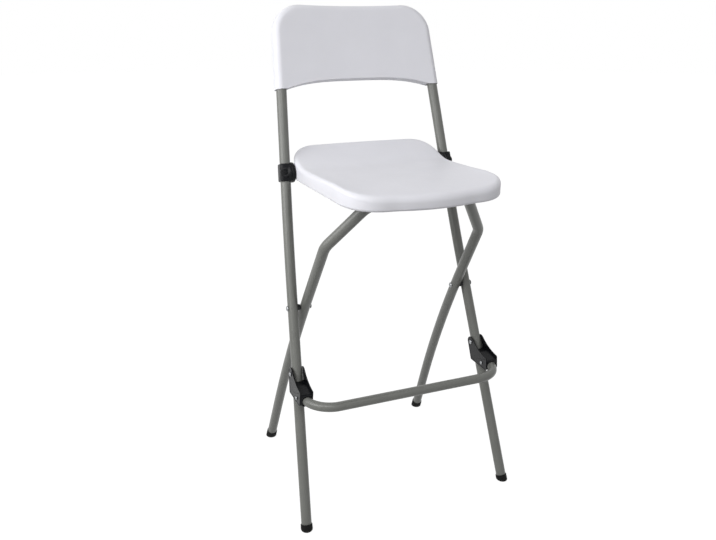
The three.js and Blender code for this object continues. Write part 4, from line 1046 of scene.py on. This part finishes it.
def back_shell():
    """The outer and the inner sheet, joined round the mouth by a rounded lip."""
    outer, inner = back_sheet(0.0), back_sheet(BACK_WALL)
    rows, columns = outer.shape[:2]
    index = np.arange(rows * columns).reshape(rows, columns)
    loop = np.concatenate([index[0, :], index[1:, -1], index[-1, -2::-1], index[-2:0:-1, 0]])
    inner_loop = loop + rows * columns
    vertices = np.vstack([outer.reshape(-1, 3), inner.reshape(-1, 3)])
    lip = (vertices[loop] + vertices[inner_loop]) / 2 - BACK_UP * BACK_WALL * 0.35
    lip_loop = np.arange(len(loop)) + 2 * rows * columns
    quads = grid_quads(rows, columns, wrap_columns=False)
    inner_quads = quads[:, ::-1] + rows * columns
    after = np.roll(np.arange(len(loop)), -1)
    first = np.stack([loop[after], loop, lip_loop, lip_loop[after]], -1)
    second = np.stack([lip_loop[after], lip_loop, inner_loop, inner_loop[after]], -1)
    return shell(np.vstack([vertices, lip]), np.vstack([quads, inner_quads, first, second]))


# Fasteners

def screw_shell(place, direction, head_radius, head_height, shank_radius, length, cross_depth):
    """A pan-head screw: a shank, an underside, and a domed top on a polar grid, lowered by a cross."""
    first, second, along = axes_about(direction)
    angle, around = circle(first, second, SCREW_SIDES)
    shank = np.array([
        [shank_radius * 0.2, -length], [shank_radius * 0.8, -length + 1.0], [shank_radius, -length + 2.0],
        [shank_radius, -0.2], [shank_radius + 0.2, 0], [head_radius - 0.3, 0], [head_radius, 0.3],
        [head_radius, head_height * 0.35],
    ])
    radius = head_radius * np.linspace(0.985, 0.03, SCREW_RINGS)
    dome = head_height - (head_height * DOME_SHARE) * (radius / head_radius) ** DOME_POWER
    x = radius[:, None] * np.cos(angle)[None]
    y = radius[:, None] * np.sin(angle)[None]
    arm, reach = head_radius * CROSS_ARM, head_radius * CROSS_REACH
    near = np.minimum(np.abs(x), np.abs(y))
    far = np.maximum(np.abs(x), np.abs(y))
    inside = np.clip((arm * 1.25 - near) / (arm * 0.5), 0, 1)
    inside *= np.clip((reach - far) / (reach * 0.25), 0, 1)
    height = dome[:, None] - cross_depth * inside
    top = np.asarray(place) + x[..., None] * first + y[..., None] * second + height[..., None] * along
    return pole_shell(np.concatenate([rings(shank, around, along, place), top]))


def rivet_shell(centre, half_length, radius, head_radius, head_height):
    """A rivet along X: a shank between two domed heads, each with a fine shoulder."""
    dome = [(0.0, 1.0), (0.3, 0.96), (0.6, 0.8), (0.84, 0.5), (0.97, 0.2)]
    half = [(head_radius * out, half_length + head_height * up) for out, up in dome]
    half += [
        (head_radius, half_length + 0.12), (head_radius * 0.98, half_length),
        (radius + 0.15, half_length), (radius, half_length - 0.2),
    ]
    return lathe([(r, -h) for r, h in half] + [(r, h) for r, h in half[::-1]], ACROSS, centre)


# Settings shown in the sidebar

def amount(label, description, value, least=0.0, **more):
    """A number of the panel."""
    return bpy.props.FloatProperty(name=label, description=description, default=value, min=least, **more)


def colour(label, description, hex_colour):
    """A colour of the panel, whose default is given in sRGB hex."""
    return bpy.props.FloatVectorProperty(
        name=label, description=description, default=linear(hex_colour)[:3], size=3, min=0.0, max=1.0,
        subtype="COLOR")


class StoolLookSettings(bpy.types.PropertyGroup):
    key_strength: amount("Key light", "Strength of the soft distant light from the left", 0.55)
    key_angle: amount(
        "Key width", "How wide the soft light looks from the stool", math.radians(26), max=math.pi,
        subtype="ANGLE")
    side_power: amount("Side softbox", "Power of the softbox left of the seat", 9.6, unit="POWER")
    front_power: amount("Front softbox", "Power of the softbox above the camera", 9.8, unit="POWER")
    ambient: amount("Ambient", "How bright the room is", 0.5, max=2.0, subtype="FACTOR")
    lens: amount(
        "Lens", "Focal length of the camera in millimetres on a 36 mm sensor", 37.14, 10.0, unit="CAMERA")


class StoolColourSettings(bpy.types.PropertyGroup):
    paint: colour("Frame paint", "Colour of the powder coat on the tubes", "#6a6b67")
    seat_white: colour("Seat and back", "Colour of the moulded seat and backrest", "#e1e1e7")
    fitting_black: colour("Fittings", "Colour of the collars and saddles", "#0b0c0f")
    nylon_black: colour("Slide parts", "Colour of the spools, runners and spacers", "#141517")
    rubber_black: colour("Foot caps", "Colour of the rubber caps", "#0a0a0a")
    zinc: colour("Rivets", "Colour of the zinc plating on pins, screws and rivets", "#97999b")
    dark_steel: colour("Collar screws", "Colour of the blackened screws in the collars", "#1b1c1e")


class StoolShapeSettings(bpy.types.PropertyGroup):
    tube_radius: amount(
        "Tube radius", "Outer radius of the frame tube", TUBE_RADIUS * MM, 0.005, unit="LENGTH")
    tube_wall: amount("Tube wall", "Wall of the frame tube", TUBE_WALL * MM, 0.0005, unit="LENGTH")
    footrest_radius: amount(
        "Footrest radius", "Outer radius of the footrest tube", FOOTREST_RADIUS * MM, 0.005, unit="LENGTH")


# Operators

class STOOL_OT_frame_tubes(bpy.types.Operator):
    """Makes the three bent tubes"""
    bl_idname = "stool.frame_tubes"
    bl_label = "Frame tubes"

    def execute(self, context):
        shape = context.scene.stool_shape
        radius, wall = shape.tube_radius / MM, shape.tube_wall / MM
        bar_radius = shape.footrest_radius / MM
        for body, route, reference, outer, thickness in (
            ("front_frame", front_route(), BACK_REAR, radius, wall),
            ("rear_frame", rear_route(), np.array([0, 0.8, 0.6]), radius, wall),
            ("footrest", footrest_route(), UPWARDS, bar_radius, FOOTREST_WALL),
        ):
            tube = tube_shell(*route, reference, outer, thickness)
            add_piece(f"{body}_painted", [tube], PAINT, body, f"{body}_tube", 40.0)
        return {"FINISHED"}


class STOOL_OT_seat(bpy.types.Operator):
    """Makes the moulded seat and the bushes in its hinge lugs"""
    bl_idname = "stool.seat"
    bl_label = "Seat"

    def execute(self, context):
        add_piece("seat_moulding", seat_shells(), WHITE, "seat", "seat_panel", 60.0)
        bore, length = PIN_RADIUS + GAP, BUSH_LENGTH - 2 * GAP
        corners = [(bore, 0, 0.5), (BUSH_RADIUS, 0, 0.5), (BUSH_RADIUS, length, 0.5), (bore, length, 0.5)]
        for name, side in SIDES.items():
            bush = turned(corners, [-side, 0, 0], lug_face(side))
            add_piece(f"seat_bush_{name}", [bush], NYLON, "seat", f"seat_pivot_bush_{name}")
        return {"FINISHED"}


class STOOL_OT_backrest(bpy.types.Operator):
    """Makes the backrest pocket, the strip in its mouth and its screws"""
    bl_idname = "stool.backrest"
    bl_label = "Backrest"

    def execute(self, context):
        add_piece("back_moulding", [back_shell()], WHITE, "front_frame", "backrest_shell", 50.0)
        add_piece("back_mouth_strip", [back_strip()], WHITE, "front_frame", "backrest_strip")
        for name, side in SIDES.items():
            seat = front_centre(side, BACK_BOTTOM_HEIGHT + BACK_SCREW_ABOVE)
            place = seat + BACK_REAR * (BACK_HALF + GAP + BACK_SCREW_STAND_OFF)
            screw = screw_shell(place, BACK_REAR, *BACK_SCREW)
            add_piece(f"back_screw_{name}", [screw], ZINC, "front_frame", f"backrest_screw_{name}")
        return {"FINISHED"}


class STOOL_OT_collars(bpy.types.Operator):
    """Makes the collars that carry the seat, with their screws and pivot pins"""
    bl_idname = "stool.collars"
    bl_label = "Seat collars"

    def execute(self, context):
        for name, side in SIDES.items():
            along = front_direction(side, SEAT_PIVOT_HEIGHT)
            across = unit(ACROSS - (ACROSS @ along) * along)
            rear = np.cross(along, across)
            origin = front_centre(side, SEAT_PIVOT_HEIGHT)
            front = side * math.sin(BOSS_TURN) * across - math.cos(BOSS_TURN) * rear
            shells = [self.sleeve(across, rear, along, origin), self.boss(front, origin), self.hub(side)]
            add_piece(f"collar_{name}", shells, BLACK, "front_frame", f"seat_collar_{name}")
            screw = screw_shell(origin + front * (BOSS_TOP - RECESS_DEPTH + GAP), front, *COLLAR_SCREW)
            add_piece(f"collar_bolt_{name}", [screw], OXIDE, "front_frame", f"collar_screw_{name}")
            add_piece(f"pivot_pin_{name}", [self.pin(side)], ZINC, "front_frame", f"seat_pivot_pin_{name}")
        return {"FINISHED"}

    def sleeve(self, across, rear, along, origin):
        """A rounded rectangle carried along the tube, its rims rounded, and a round bore back down it."""
        half_x, half_y = COLLAR_WIDTH / 2, COLLAR_DEPTH / 2
        corners = [(half_x, -half_y), (half_x, half_y), (-half_x, half_y), (-half_x, -half_y)]
        outline = soft_outline([(*corner, COLLAR_CORNER) for corner in corners], OUTLINE_POINTS, 12)
        normals = outline_normals(outline)
        radial = unit(outline)
        high = COLLAR_HEIGHT / 2
        levels = rounded_levels(-high, high, COLLAR_ROUND, 6)
        outer = outline[None] - levels[:, 1][:, None, None] * normals[None]
        bore_heights = np.array([high - 0.2, high - 0.8, 0, -high + 0.8, -high + 0.2])
        widen = np.array([0.7, 0, 0, 0, 0.7])
        inner = (radial * (TUBE_RADIUS + GAP))[None] + radial[None] * widen[:, None, None]
        flat = np.concatenate([outer, inner])
        height = np.concatenate([levels[:, 0], bore_heights])[:, None, None]
        grid = origin + flat[..., :1] * across + flat[..., 1:] * rear + height * along
        return ring_shell(grid, closed=True)

    def boss(self, front, origin):
        """The ring in front that the screw sits in, with a deep round recess."""
        foot, floor = COLLAR_DEPTH / 2 - 2.0, BOSS_TOP - RECESS_DEPTH
        return turned([
            (0, foot, 0), (BOSS_RADIUS + 0.8, foot, 0), (BOSS_RADIUS, foot + 2.2, 0.8),
            (BOSS_RADIUS, BOSS_TOP, 1.6), (RECESS_RADIUS + 0.4, BOSS_TOP, 0.9), (RECESS_RADIUS, floor, 0.3),
            (0, floor, 0),
        ], front, origin)

    def hub(self, side):
        """The round hub towards the seat: a drum with a stepped rim and a shallow groove."""
        face = SEAT_REAR_HALF + HUB_STAND_OFF
        depth = PIVOT_HALF - face
        bore = PIN_RADIUS + GAP
        return turned([
            (bore, 0, 0.4), (HUB_RADIUS - 0.6, 0, 1.6), (HUB_RADIUS, 2.6, 0.8), (HUB_RADIUS, 6.4, 0.5),
            (HUB_RADIUS - 1.0, 7.0, 0.4), (HUB_RADIUS - 1.0, 8.2, 0.4), (HUB_RADIUS - 0.3, 8.9, 0.5),
            (HUB_RADIUS - 0.3, depth - 6.0, 1.2), (HUB_RADIUS - 3.2, depth - 2.0, 2.0),
            (HUB_RADIUS - 7.0, depth, 1.0), (bore, depth - 6.5, 0),
        ], [side, 0, 0], [side * face, PIVOT_BACK, SEAT_PIVOT_HEIGHT])

    def pin(self, side):
        """The pin from the tube into the seat's bush."""
        inner = SEAT_REAR_HALF - BUSH_LENGTH + 2 * GAP
        length = PIVOT_HALF - TUBE_RADIUS - GAP - inner
        corners = [(0, 0, 0), (PIN_RADIUS, 0, 0.8), (PIN_RADIUS, length, 0.5), (0, length, 0)]
        return turned(corners, [side, 0, 0], [side * inner, PIVOT_BACK, SEAT_PIVOT_HEIGHT])


class STOOL_OT_scissor_joints(bpy.types.Operator):
    """Makes the spacers and rivets where the frames cross"""
    bl_idname = "stool.scissor_joints"
    bl_label = "Scissor joints"

    def execute(self, context):
        outer = front_half(SCISSOR_HEIGHT) + TUBE_RADIUS + 2 * GAP
        inner = rear_half(SCISSOR_HEIGHT) - TUBE_RADIUS - 2 * GAP
        for name, side in SIDES.items():
            middle = [side * (outer + inner) / 2, 0, SCISSOR_HEIGHT]
            rivet = rivet_shell(middle, (outer - inner) / 2, *SCISSOR_RIVET)
            add_piece(f"cross_rivet_{name}", [rivet], ZINC, "front_frame", f"scissor_rivet_{name}")
            add_piece(
                f"cross_spacer_{name}", [self.spacer(side)], NYLON, "front_frame", f"scissor_spacer_{name}")
        return {"FINISHED"}

    def spacer(self, side):
        """A ring whose far face follows the round tube: each point goes on to a gap short of the tube."""
        angle = np.linspace(0, TURN, SPACER_SIDES, endpoint=False)
        hole, rim = SPACER_HOLE, SPACER_RADIUS
        radii = np.array([hole, hole + 0.4, rim - 0.8, rim - 0.2, rim, rim, rim - 0.2, hole + 0.2, hole])
        start = np.array([0, 0, 0, 0.2, 0.8])
        along = unit([0, FRONT_SLOPE, 1.0])
        y = radii[:, None] * np.cos(angle)[None]
        z = radii[:, None] * np.sin(angle)[None]
        off = np.abs(y * along[2] - z * along[1])
        clear = TUBE_RADIUS + GAP
        chord = np.sqrt(clear ** 2 - np.minimum(off, clear - 1) ** 2)
        tube = front_half(SCISSOR_HEIGHT) - FRONT_TAPER * z - chord
        flat = rear_half(SCISSOR_HEIGHT) + TUBE_RADIUS + 2 * GAP
        x = np.where(np.arange(len(radii))[:, None] < len(start), flat, tube)
        x[:len(start)] += start[:, None]
        return ring_shell(np.stack([side * x, y, SCISSOR_HEIGHT + z], -1), closed=True)


class STOOL_OT_slide(bpy.types.Operator):
    """Makes the spools on the cross bar and the runners under the seat"""
    bl_idname = "stool.slide"
    bl_label = "Seat slide"

    def execute(self, context):
        rear = RUNNER_REAR - RUNNER_SCREW_INSET
        for name, side in SIDES.items():
            add_piece(f"spool_{name}", [self.spool(side)], NYLON, "rear_frame", f"slide_spool_{name}")
            add_piece(f"runner_{name}", [self.runner(side)], NYLON, "seat", f"seat_runner_{name}", 25.0)
            for index, share in enumerate(RUNNER_SCREW_SHARES, 1):
                back = rear + (-BAR_FORWARD - rear) * share
                place = [side * SPOOL_X, back, RUNNER_BOTTOM + RUNNER_SCREW_SUNK]
                screw = screw_shell(place, -UPWARDS, *RUNNER_SCREW)
                add_piece(
                    f"runner_bolt_{name}_{index}", [screw], ZINC, "seat", f"runner_screw_{name}_{index}")
        return {"FINISHED"}

    def spool(self, side):
        """A drum on the bar between two flanges."""
        bore, half = TUBE_RADIUS + GAP, RUNNER_WIDTH / 2 + 2 * GAP
        flange, edge = SPOOL_RADIUS + SPOOL_FLANGE, half + SPOOL_FLANGE_WIDTH
        return turned([
            (bore, -edge, 0.5), (flange, -edge, 0.8), (flange, -half, 0.6), (SPOOL_RADIUS, -half, 0.5),
            (SPOOL_RADIUS, half, 0.5), (flange, half, 0.6), (flange, edge, 0.8), (bore, edge, 0.5),
        ], ACROSS, [side * SPOOL_X, -BAR_FORWARD, BAR_HEIGHT])

    def runner(self, side):
        """The runner's side view carried across its width: a strip with soft edges and a stop in front."""
        bottom, top = RUNNER_BOTTOM, CEILING - GAP
        stop = -BAR_FORWARD - SPOOL_RADIUS - GAP
        front = stop - RUNNER_STOP
        outline = soft_outline([
            (RUNNER_REAR, top, 0.6), (front, top, 0.8), (front, bottom - RUNNER_STOP_DROP, 1.5),
            (stop - RUNNER_STOP / 3, bottom - RUNNER_STOP_DROP, 1.5),
            (stop, bottom - RUNNER_STOP_DROP / 2, 2.0), (stop, bottom, 1.5), (RUNNER_REAR, bottom, 0.6),
        ], RUNNER_POINTS)
        levels = rounded_levels(-RUNNER_WIDTH / 2, RUNNER_WIDTH / 2, 0.7)
        return levels_shell(outline, levels, SIDE_VIEW, np.array([side * SPOOL_X, 0, 0]))


class STOOL_OT_footrest_fittings(bpy.types.Operator):
    """Makes the saddles that hold the footrest, with their rivets"""
    bl_idname = "stool.footrest_fittings"
    bl_label = "Footrest fittings"

    def execute(self, context):
        half = TUBE_RADIUS + SADDLE_WING_GAP + SADDLE_WING
        pivot = front_centre(1, FOOTREST_PIVOT_HEIGHT)
        for name, side in SIDES.items():
            shells = [self.wing(side, -1.0), self.wing(side, 1.0), self.web(side), self.socket(side)]
            add_piece(f"saddle_{name}", shells, BLACK, "footrest", f"footrest_saddle_{name}", 28.0)
            for kind, y, z, sizes, body in (
                ("pivot", pivot[1], pivot[2], PIVOT_RIVET, "front_frame"),
                ("tube", -LEG_FORWARD - FOOTREST_RIVET_REACH, FOOTREST_HEIGHT, TUBE_RIVET, "footrest"),
            ):
                reach = half + GAP + FRONT_TAPER * sizes[1]
                rivet = rivet_shell([side * front_half(z), y, z], reach, *sizes)
                add_piece(f"saddle_{kind}_rivet_{name}", [rivet], ZINC, body, f"footrest_{kind}_rivet_{name}")
        return {"FINISHED"}

    def front_corners(self):
        """The front and lower corners that the wings and the web share."""
        return [
            (-SADDLE_FRONT, SADDLE_BOTTOM + SADDLE_CORNER, 2.0),
            (-SADDLE_FRONT + SADDLE_CORNER, SADDLE_BOTTOM, 2.0),
        ]

    def wing_outline(self):
        """The wing from the side: a round top about the pivot, a hollow shoulder and a block for the tube."""
        pivot = front_centre(1, FOOTREST_PIVOT_HEIGHT)[1:]
        end = SADDLE_ARC_END
        angle = np.linspace(0, end, WING_ARC_STEPS)
        arc = pivot + SADDLE_TOP_RADIUS * np.stack([np.cos(angle), np.sin(angle)], -1)
        control = arc[-1] + SADDLE_SHOULDER_REACH * np.array([-math.sin(end), math.cos(end)])
        target = np.array([-SADDLE_FRONT, SADDLE_TOP])
        share = np.linspace(0, 1, SHOULDER_STEPS)[1:-1, None]
        shoulder = (1 - share) ** 2 * arc[-1] + 2 * share * (1 - share) * control + share ** 2 * target
        smooth = np.vstack([arc, shoulder])
        corners = [(*target, 3.0), *self.front_corners(), (-SADDLE_REAR, SADDLE_BOTTOM, 3.0)]
        sharp = np.hstack([smooth, np.zeros((len(smooth), 1))])
        return soft_outline(np.vstack([sharp, corners]), WING_POINTS)

    def wing(self, side, outward):
        """A wing: the outline carried across its thickness, the outer face sunk inside a raised border."""
        inner = TUBE_RADIUS + SADDLE_WING_GAP
        outer = inner + SADDLE_WING
        levels = [
            (inner, 0.5), (inner + 0.5, 0.0), (outer - 0.7, 0.0), (outer - 0.3, 0.15), (outer, 0.7),
            (outer, 2.0), (outer - 0.15, 2.3), (outer - 0.5, 2.6), (outer - 0.5, 4.0),
        ]
        axes = (*SIDE_VIEW[:2], [outward, 0, 0])
        origin = np.array([side * FOOTREST_PIVOT_HALF, 0, 0])
        return leant(levels_shell(self.wing_outline(), levels, axes, origin), side)

    def web(self, side):
        """The block between the wings: its side view carried across, hollowed behind round the leg."""
        outline = soft_outline([
            (-LEG_FORWARD, SADDLE_BOTTOM, 0), (-LEG_FORWARD, SADDLE_TOP, 0),
            (-LEG_FORWARD - SADDLE_WEB_LEVEL, SADDLE_TOP, 4.0),
            (-SADDLE_FRONT, FOOTREST_HEIGHT + SADDLE_WEB_OFFSET, 3.5), *self.front_corners(),
        ], WEB_POINTS)
        half = TUBE_RADIUS + SADDLE_WING_GAP + GAP
        across = np.linspace(-half, half, WEB_RINGS)
        x = np.broadcast_to(across[:, None], (len(across), len(outline)))
        y = np.broadcast_to(outline[None, :, 0], x.shape)
        z = np.broadcast_to(outline[None, :, 1], x.shape)
        clear = TUBE_RADIUS + 2 * GAP
        leg = FRONT_BEND_BACK + FRONT_SLOPE * (z - FRONT_BEND_HEIGHT)
        surface = leg - np.sqrt(np.maximum(clear ** 2 - x ** 2, 0)) / math.cos(math.atan(FRONT_SLOPE))
        origin = np.array([side * FOOTREST_PIVOT_HALF, 0, 0])
        return leant(ring_shell(np.stack([x, np.minimum(y, surface), z], -1) + origin), side)

    def socket(self, side):
        """The raised ring round the tube's mouth in the block's front, level near the block's underside."""
        bore = FOOTREST_RADIUS + 0.1
        front, root = SOCKET_RADII
        corners = [(bore, -SOCKET_DEPTH, 0), (bore, SOCKET_RISE, 0.4), (front, SOCKET_RISE, 1.0),
                   (root, -SOCKET_DEPTH, 0)]
        place = [side * FOOTREST_HALF, -SADDLE_FRONT, FOOTREST_HEIGHT]
        vertices, quads, polygons = turned(corners, [0, -1, 0], place)
        vertices[:, 2] = np.maximum(vertices[:, 2], SADDLE_BOTTOM + 0.4)
        return vertices, quads, polygons


class STOOL_OT_foot_caps(bpy.types.Operator):
    """Makes the four rubber caps"""
    bl_idname = "stool.foot_caps"
    bl_label = "Foot caps"

    def execute(self, context):
        for name, side in SIDES.items():
            front = np.array([side * FRONT_FOOT_HALF, front_centre(side, 0)[1], 0])
            rear = rear_foot(side)
            for end, foot, along, sizes in (
                ("front", front, front_direction(side, 0), FRONT_CAP),
                ("rear", rear, unit(rear_bend(side) - rear), REAR_CAP),
            ):
                cap = self.cap(foot, along, *sizes)
                add_piece(f"{end}_cap_{name}", [cap], RUBBER, f"{end}_frame", f"{end}_foot_cap_{name}", 40.0)
        return {"FINISHED"}

    def cap(self, foot, along, high, floor):
        """A cup along the leg. Each line of its wall runs down to a quarter round that meets a level sole."""
        first, second, _ = axes_about(along)
        around = circle(first, second, OUTLINE_POINTS)[1]
        bore = TUBE_RADIUS + 0.1
        wall = np.array([
            [bore, high - 0.5], [bore + 0.3, high - 0.1], [bore + 0.65, high],
            [CAP_RADIUS - 0.3, high - 0.15], [CAP_RADIUS - 0.07, high - 0.45], [CAP_RADIUS, high - 0.9],
        ])
        top = rings(wall, around, along, foot)
        flared = CAP_RADIUS + CAP_FLARE
        across = flared * (around - along * (around[:, 2] / along[2])[:, None])
        rise = CAP_EDGE * np.concatenate([[1.25], 1 - np.sin(np.linspace(0, QUARTER, CAP_ROUND_STEPS))])
        shrink = CAP_EDGE * (1 - np.sqrt(1 - (1 - np.minimum(rise / CAP_EDGE, 1)) ** 2))
        width = np.minimum(flared, flared + GAP - shrink) / flared
        skirt = foot + width[:, None, None] * across[None] + rise[:, None, None] * (along / along[2])
        sole = foot + width[-1] * np.array([0.85, 0.83, 0.6, 0.58, 0.25])[:, None, None] * across[None]
        sole = sole + np.array([0, 0.4, 0.4, 0, 0])[:, None, None] * UPWARDS
        plug = rings(np.array([[bore * 0.9, floor - 0.1], [bore, high - 1.2]]), around, along, foot)
        return pole_shell(np.concatenate([plug, top, skirt, sole]))


class STOOL_OT_stage(bpy.types.Operator):
    """Makes the floor, the lights, the white room and the camera"""
    bl_idname = "stool.stage"
    bl_label = "Stage"

    def execute(self, context):
        look = context.scene.stool_look
        context.scene.view_settings.view_transform = "Standard"
        self.floor()
        self.room(look.ambient)
        self.lamp("key_light", "SUN", KEY_PLACE, (0, 0, 0), look.key_strength, angle=look.key_angle)
        self.softbox("side_softbox", *SIDE_BOX, look.side_power)
        self.softbox("front_softbox", *FRONT_BOX, look.front_power)
        self.camera(look.lens)
        return {"FINISHED"}

    def place(self, name, data):
        """An object linked into the scene."""
        thing = bpy.data.objects.new(name, data)
        bpy.context.scene.collection.objects.link(thing)
        return thing

    def camera(self, lens):
        """The camera, fitted to the photo: it looks down, from left of the stool."""
        data = bpy.data.cameras.new("photo_camera")
        camera = self.place("photo_camera", data)
        camera.location = CAMERA_PLACE
        camera.rotation_euler = (math.radians(90 - CAMERA_DOWN), 0, math.radians(-CAMERA_TURN))
        data.lens = lens
        data.sensor_width = SENSOR_WIDTH
        data.sensor_fit = "HORIZONTAL"
        data.clip_start, data.clip_end = 0.05, 100.0
        bpy.context.scene.camera = camera

    def floor(self):
        """A pale disc. The camera sees mostly white glow, and the rest takes the object's soft shadow."""
        rim = circle(ACROSS, np.array([0, 1, 0]), OUTLINE_POINTS)[1] * FLOOR_RADIUS
        mesh = bpy.data.meshes.new("studio_floor")
        mesh.from_pydata(rim.tolist(), [], [list(range(OUTLINE_POINTS))])
        floor = self.place("studio_floor", mesh)
        floor.location = (0, 0, -FLOOR_DROP)
        material = bpy.data.materials.new("white_studio_floor")
        tree = bare_tree(material)
        diffuse = add_node(tree, "ShaderNodeBsdfDiffuse", inputs={"Color": linear("#9a9a9a")})
        glow = add_node(tree, "ShaderNodeEmission", inputs={"Color": (1, 1, 1, 1), "Strength": FLOOR_GLOW})
        seen = self.seen_directly(tree)
        share = add_node(tree, "ShaderNodeMath", {"operation": "MULTIPLY"}, {1: FLOOR_GLOW_SHARE}, {0: seen})
        self.mix(tree, "ShaderNodeOutputMaterial", share.outputs[0], diffuse, glow)
        mesh.materials.append(material)

    def room(self, ambient):
        """A white room, which lights the object less than it shows to the camera and in reflections."""
        world = bpy.data.worlds.new("white_room")
        bpy.context.scene.world = world
        tree = bare_tree(world)
        light, white = (
            add_node(tree, "ShaderNodeBackground", inputs={"Color": (1, 1, 1, 1), "Strength": strength})
            for strength in (ambient, 1.0))
        self.mix(tree, "ShaderNodeOutputWorld", self.seen_directly(tree), light, white)

    def seen_directly(self, tree):
        """One for rays from the camera, and for those that metal and glass send on."""
        rays = add_node(tree, "ShaderNodeLightPath").outputs
        seen = rays["Is Camera Ray"]
        for kind in ("Is Transmission Ray", "Is Glossy Ray"):
            links = {0: seen, 1: rays[kind]}
            seen = add_node(tree, "ShaderNodeMath", {"operation": "MAXIMUM"}, links=links).outputs[0]
        return seen

    def mix(self, tree, output, share, unseen, seen):
        """Two shaders mixed by a share, and sent to the tree's output."""
        mixed = add_node(
            tree, "ShaderNodeMixShader", links={0: share, 1: unseen.outputs[0], 2: seen.outputs[0]})
        add_node(tree, output, links={"Surface": mixed.outputs[0]})

    def lamp(self, name, kind, source, target, power, **settings):
        """A lamp at one place that shines to another. A distant one is even over the whole floor."""
        data = bpy.data.lights.new(name, kind)
        data.energy = power
        for setting, value in settings.items():
            setattr(data, setting, value)
        lamp = self.place(name, data)
        lamp.location = source
        aim = unit(np.subtract(target, source))
        lamp.rotation_euler = (math.acos(-aim[2]), 0, math.atan2(aim[1], aim[0]) - QUARTER)
        return lamp

    def softbox(self, name, source, target, size, power):
        """A flat lamp near the seat, so that the light fades towards the feet. It isn't seen itself."""
        lamp = self.lamp(name, "AREA", source, target, power, shape="RECTANGLE", size=size[0], size_y=size[1])
        lamp.visible_camera = False


class STOOL_PT_sidebar(bpy.types.Panel):
    """Lists the pieces and the settings"""
    bl_idname = "STOOL_PT_sidebar"
    bl_label = "Folding bar stool"
    bl_space_type = "VIEW_3D"
    bl_region_type = "UI"
    bl_category = "Stool"

    def draw(self, context):
        for group in (context.scene.stool_shape, context.scene.stool_colours, context.scene.stool_look):
            for name in group.__annotations__:
                self.layout.prop(group, name)
        for operator in OPERATORS:
            self.layout.operator(operator.bl_idname)


OPERATORS = (
    STOOL_OT_stage, STOOL_OT_frame_tubes, STOOL_OT_seat, STOOL_OT_backrest, STOOL_OT_collars,
    STOOL_OT_scissor_joints, STOOL_OT_slide, STOOL_OT_footrest_fittings, STOOL_OT_foot_caps,
)
GROUPS = {
    "stool_look": StoolLookSettings,
    "stool_colours": StoolColourSettings,
    "stool_shape": StoolShapeSettings,
}
CLASSES = (*GROUPS.values(), *OPERATORS, STOOL_PT_sidebar)


def register():
    for cls in CLASSES:
        bpy.utils.register_class(cls)
    for name, group in GROUPS.items():
        setattr(bpy.types.Scene, name, bpy.props.PointerProperty(type=group))


def unregister():
    for name in GROUPS:
        delattr(bpy.types.Scene, name)
    for cls in reversed(CLASSES):
        bpy.utils.unregister_class(cls)


def main():
    register()
    for operator in OPERATORS:
        group, name = operator.bl_idname.split(".")
        getattr(getattr(bpy.ops, group), name)()


if __name__ == "__main__":
    main()
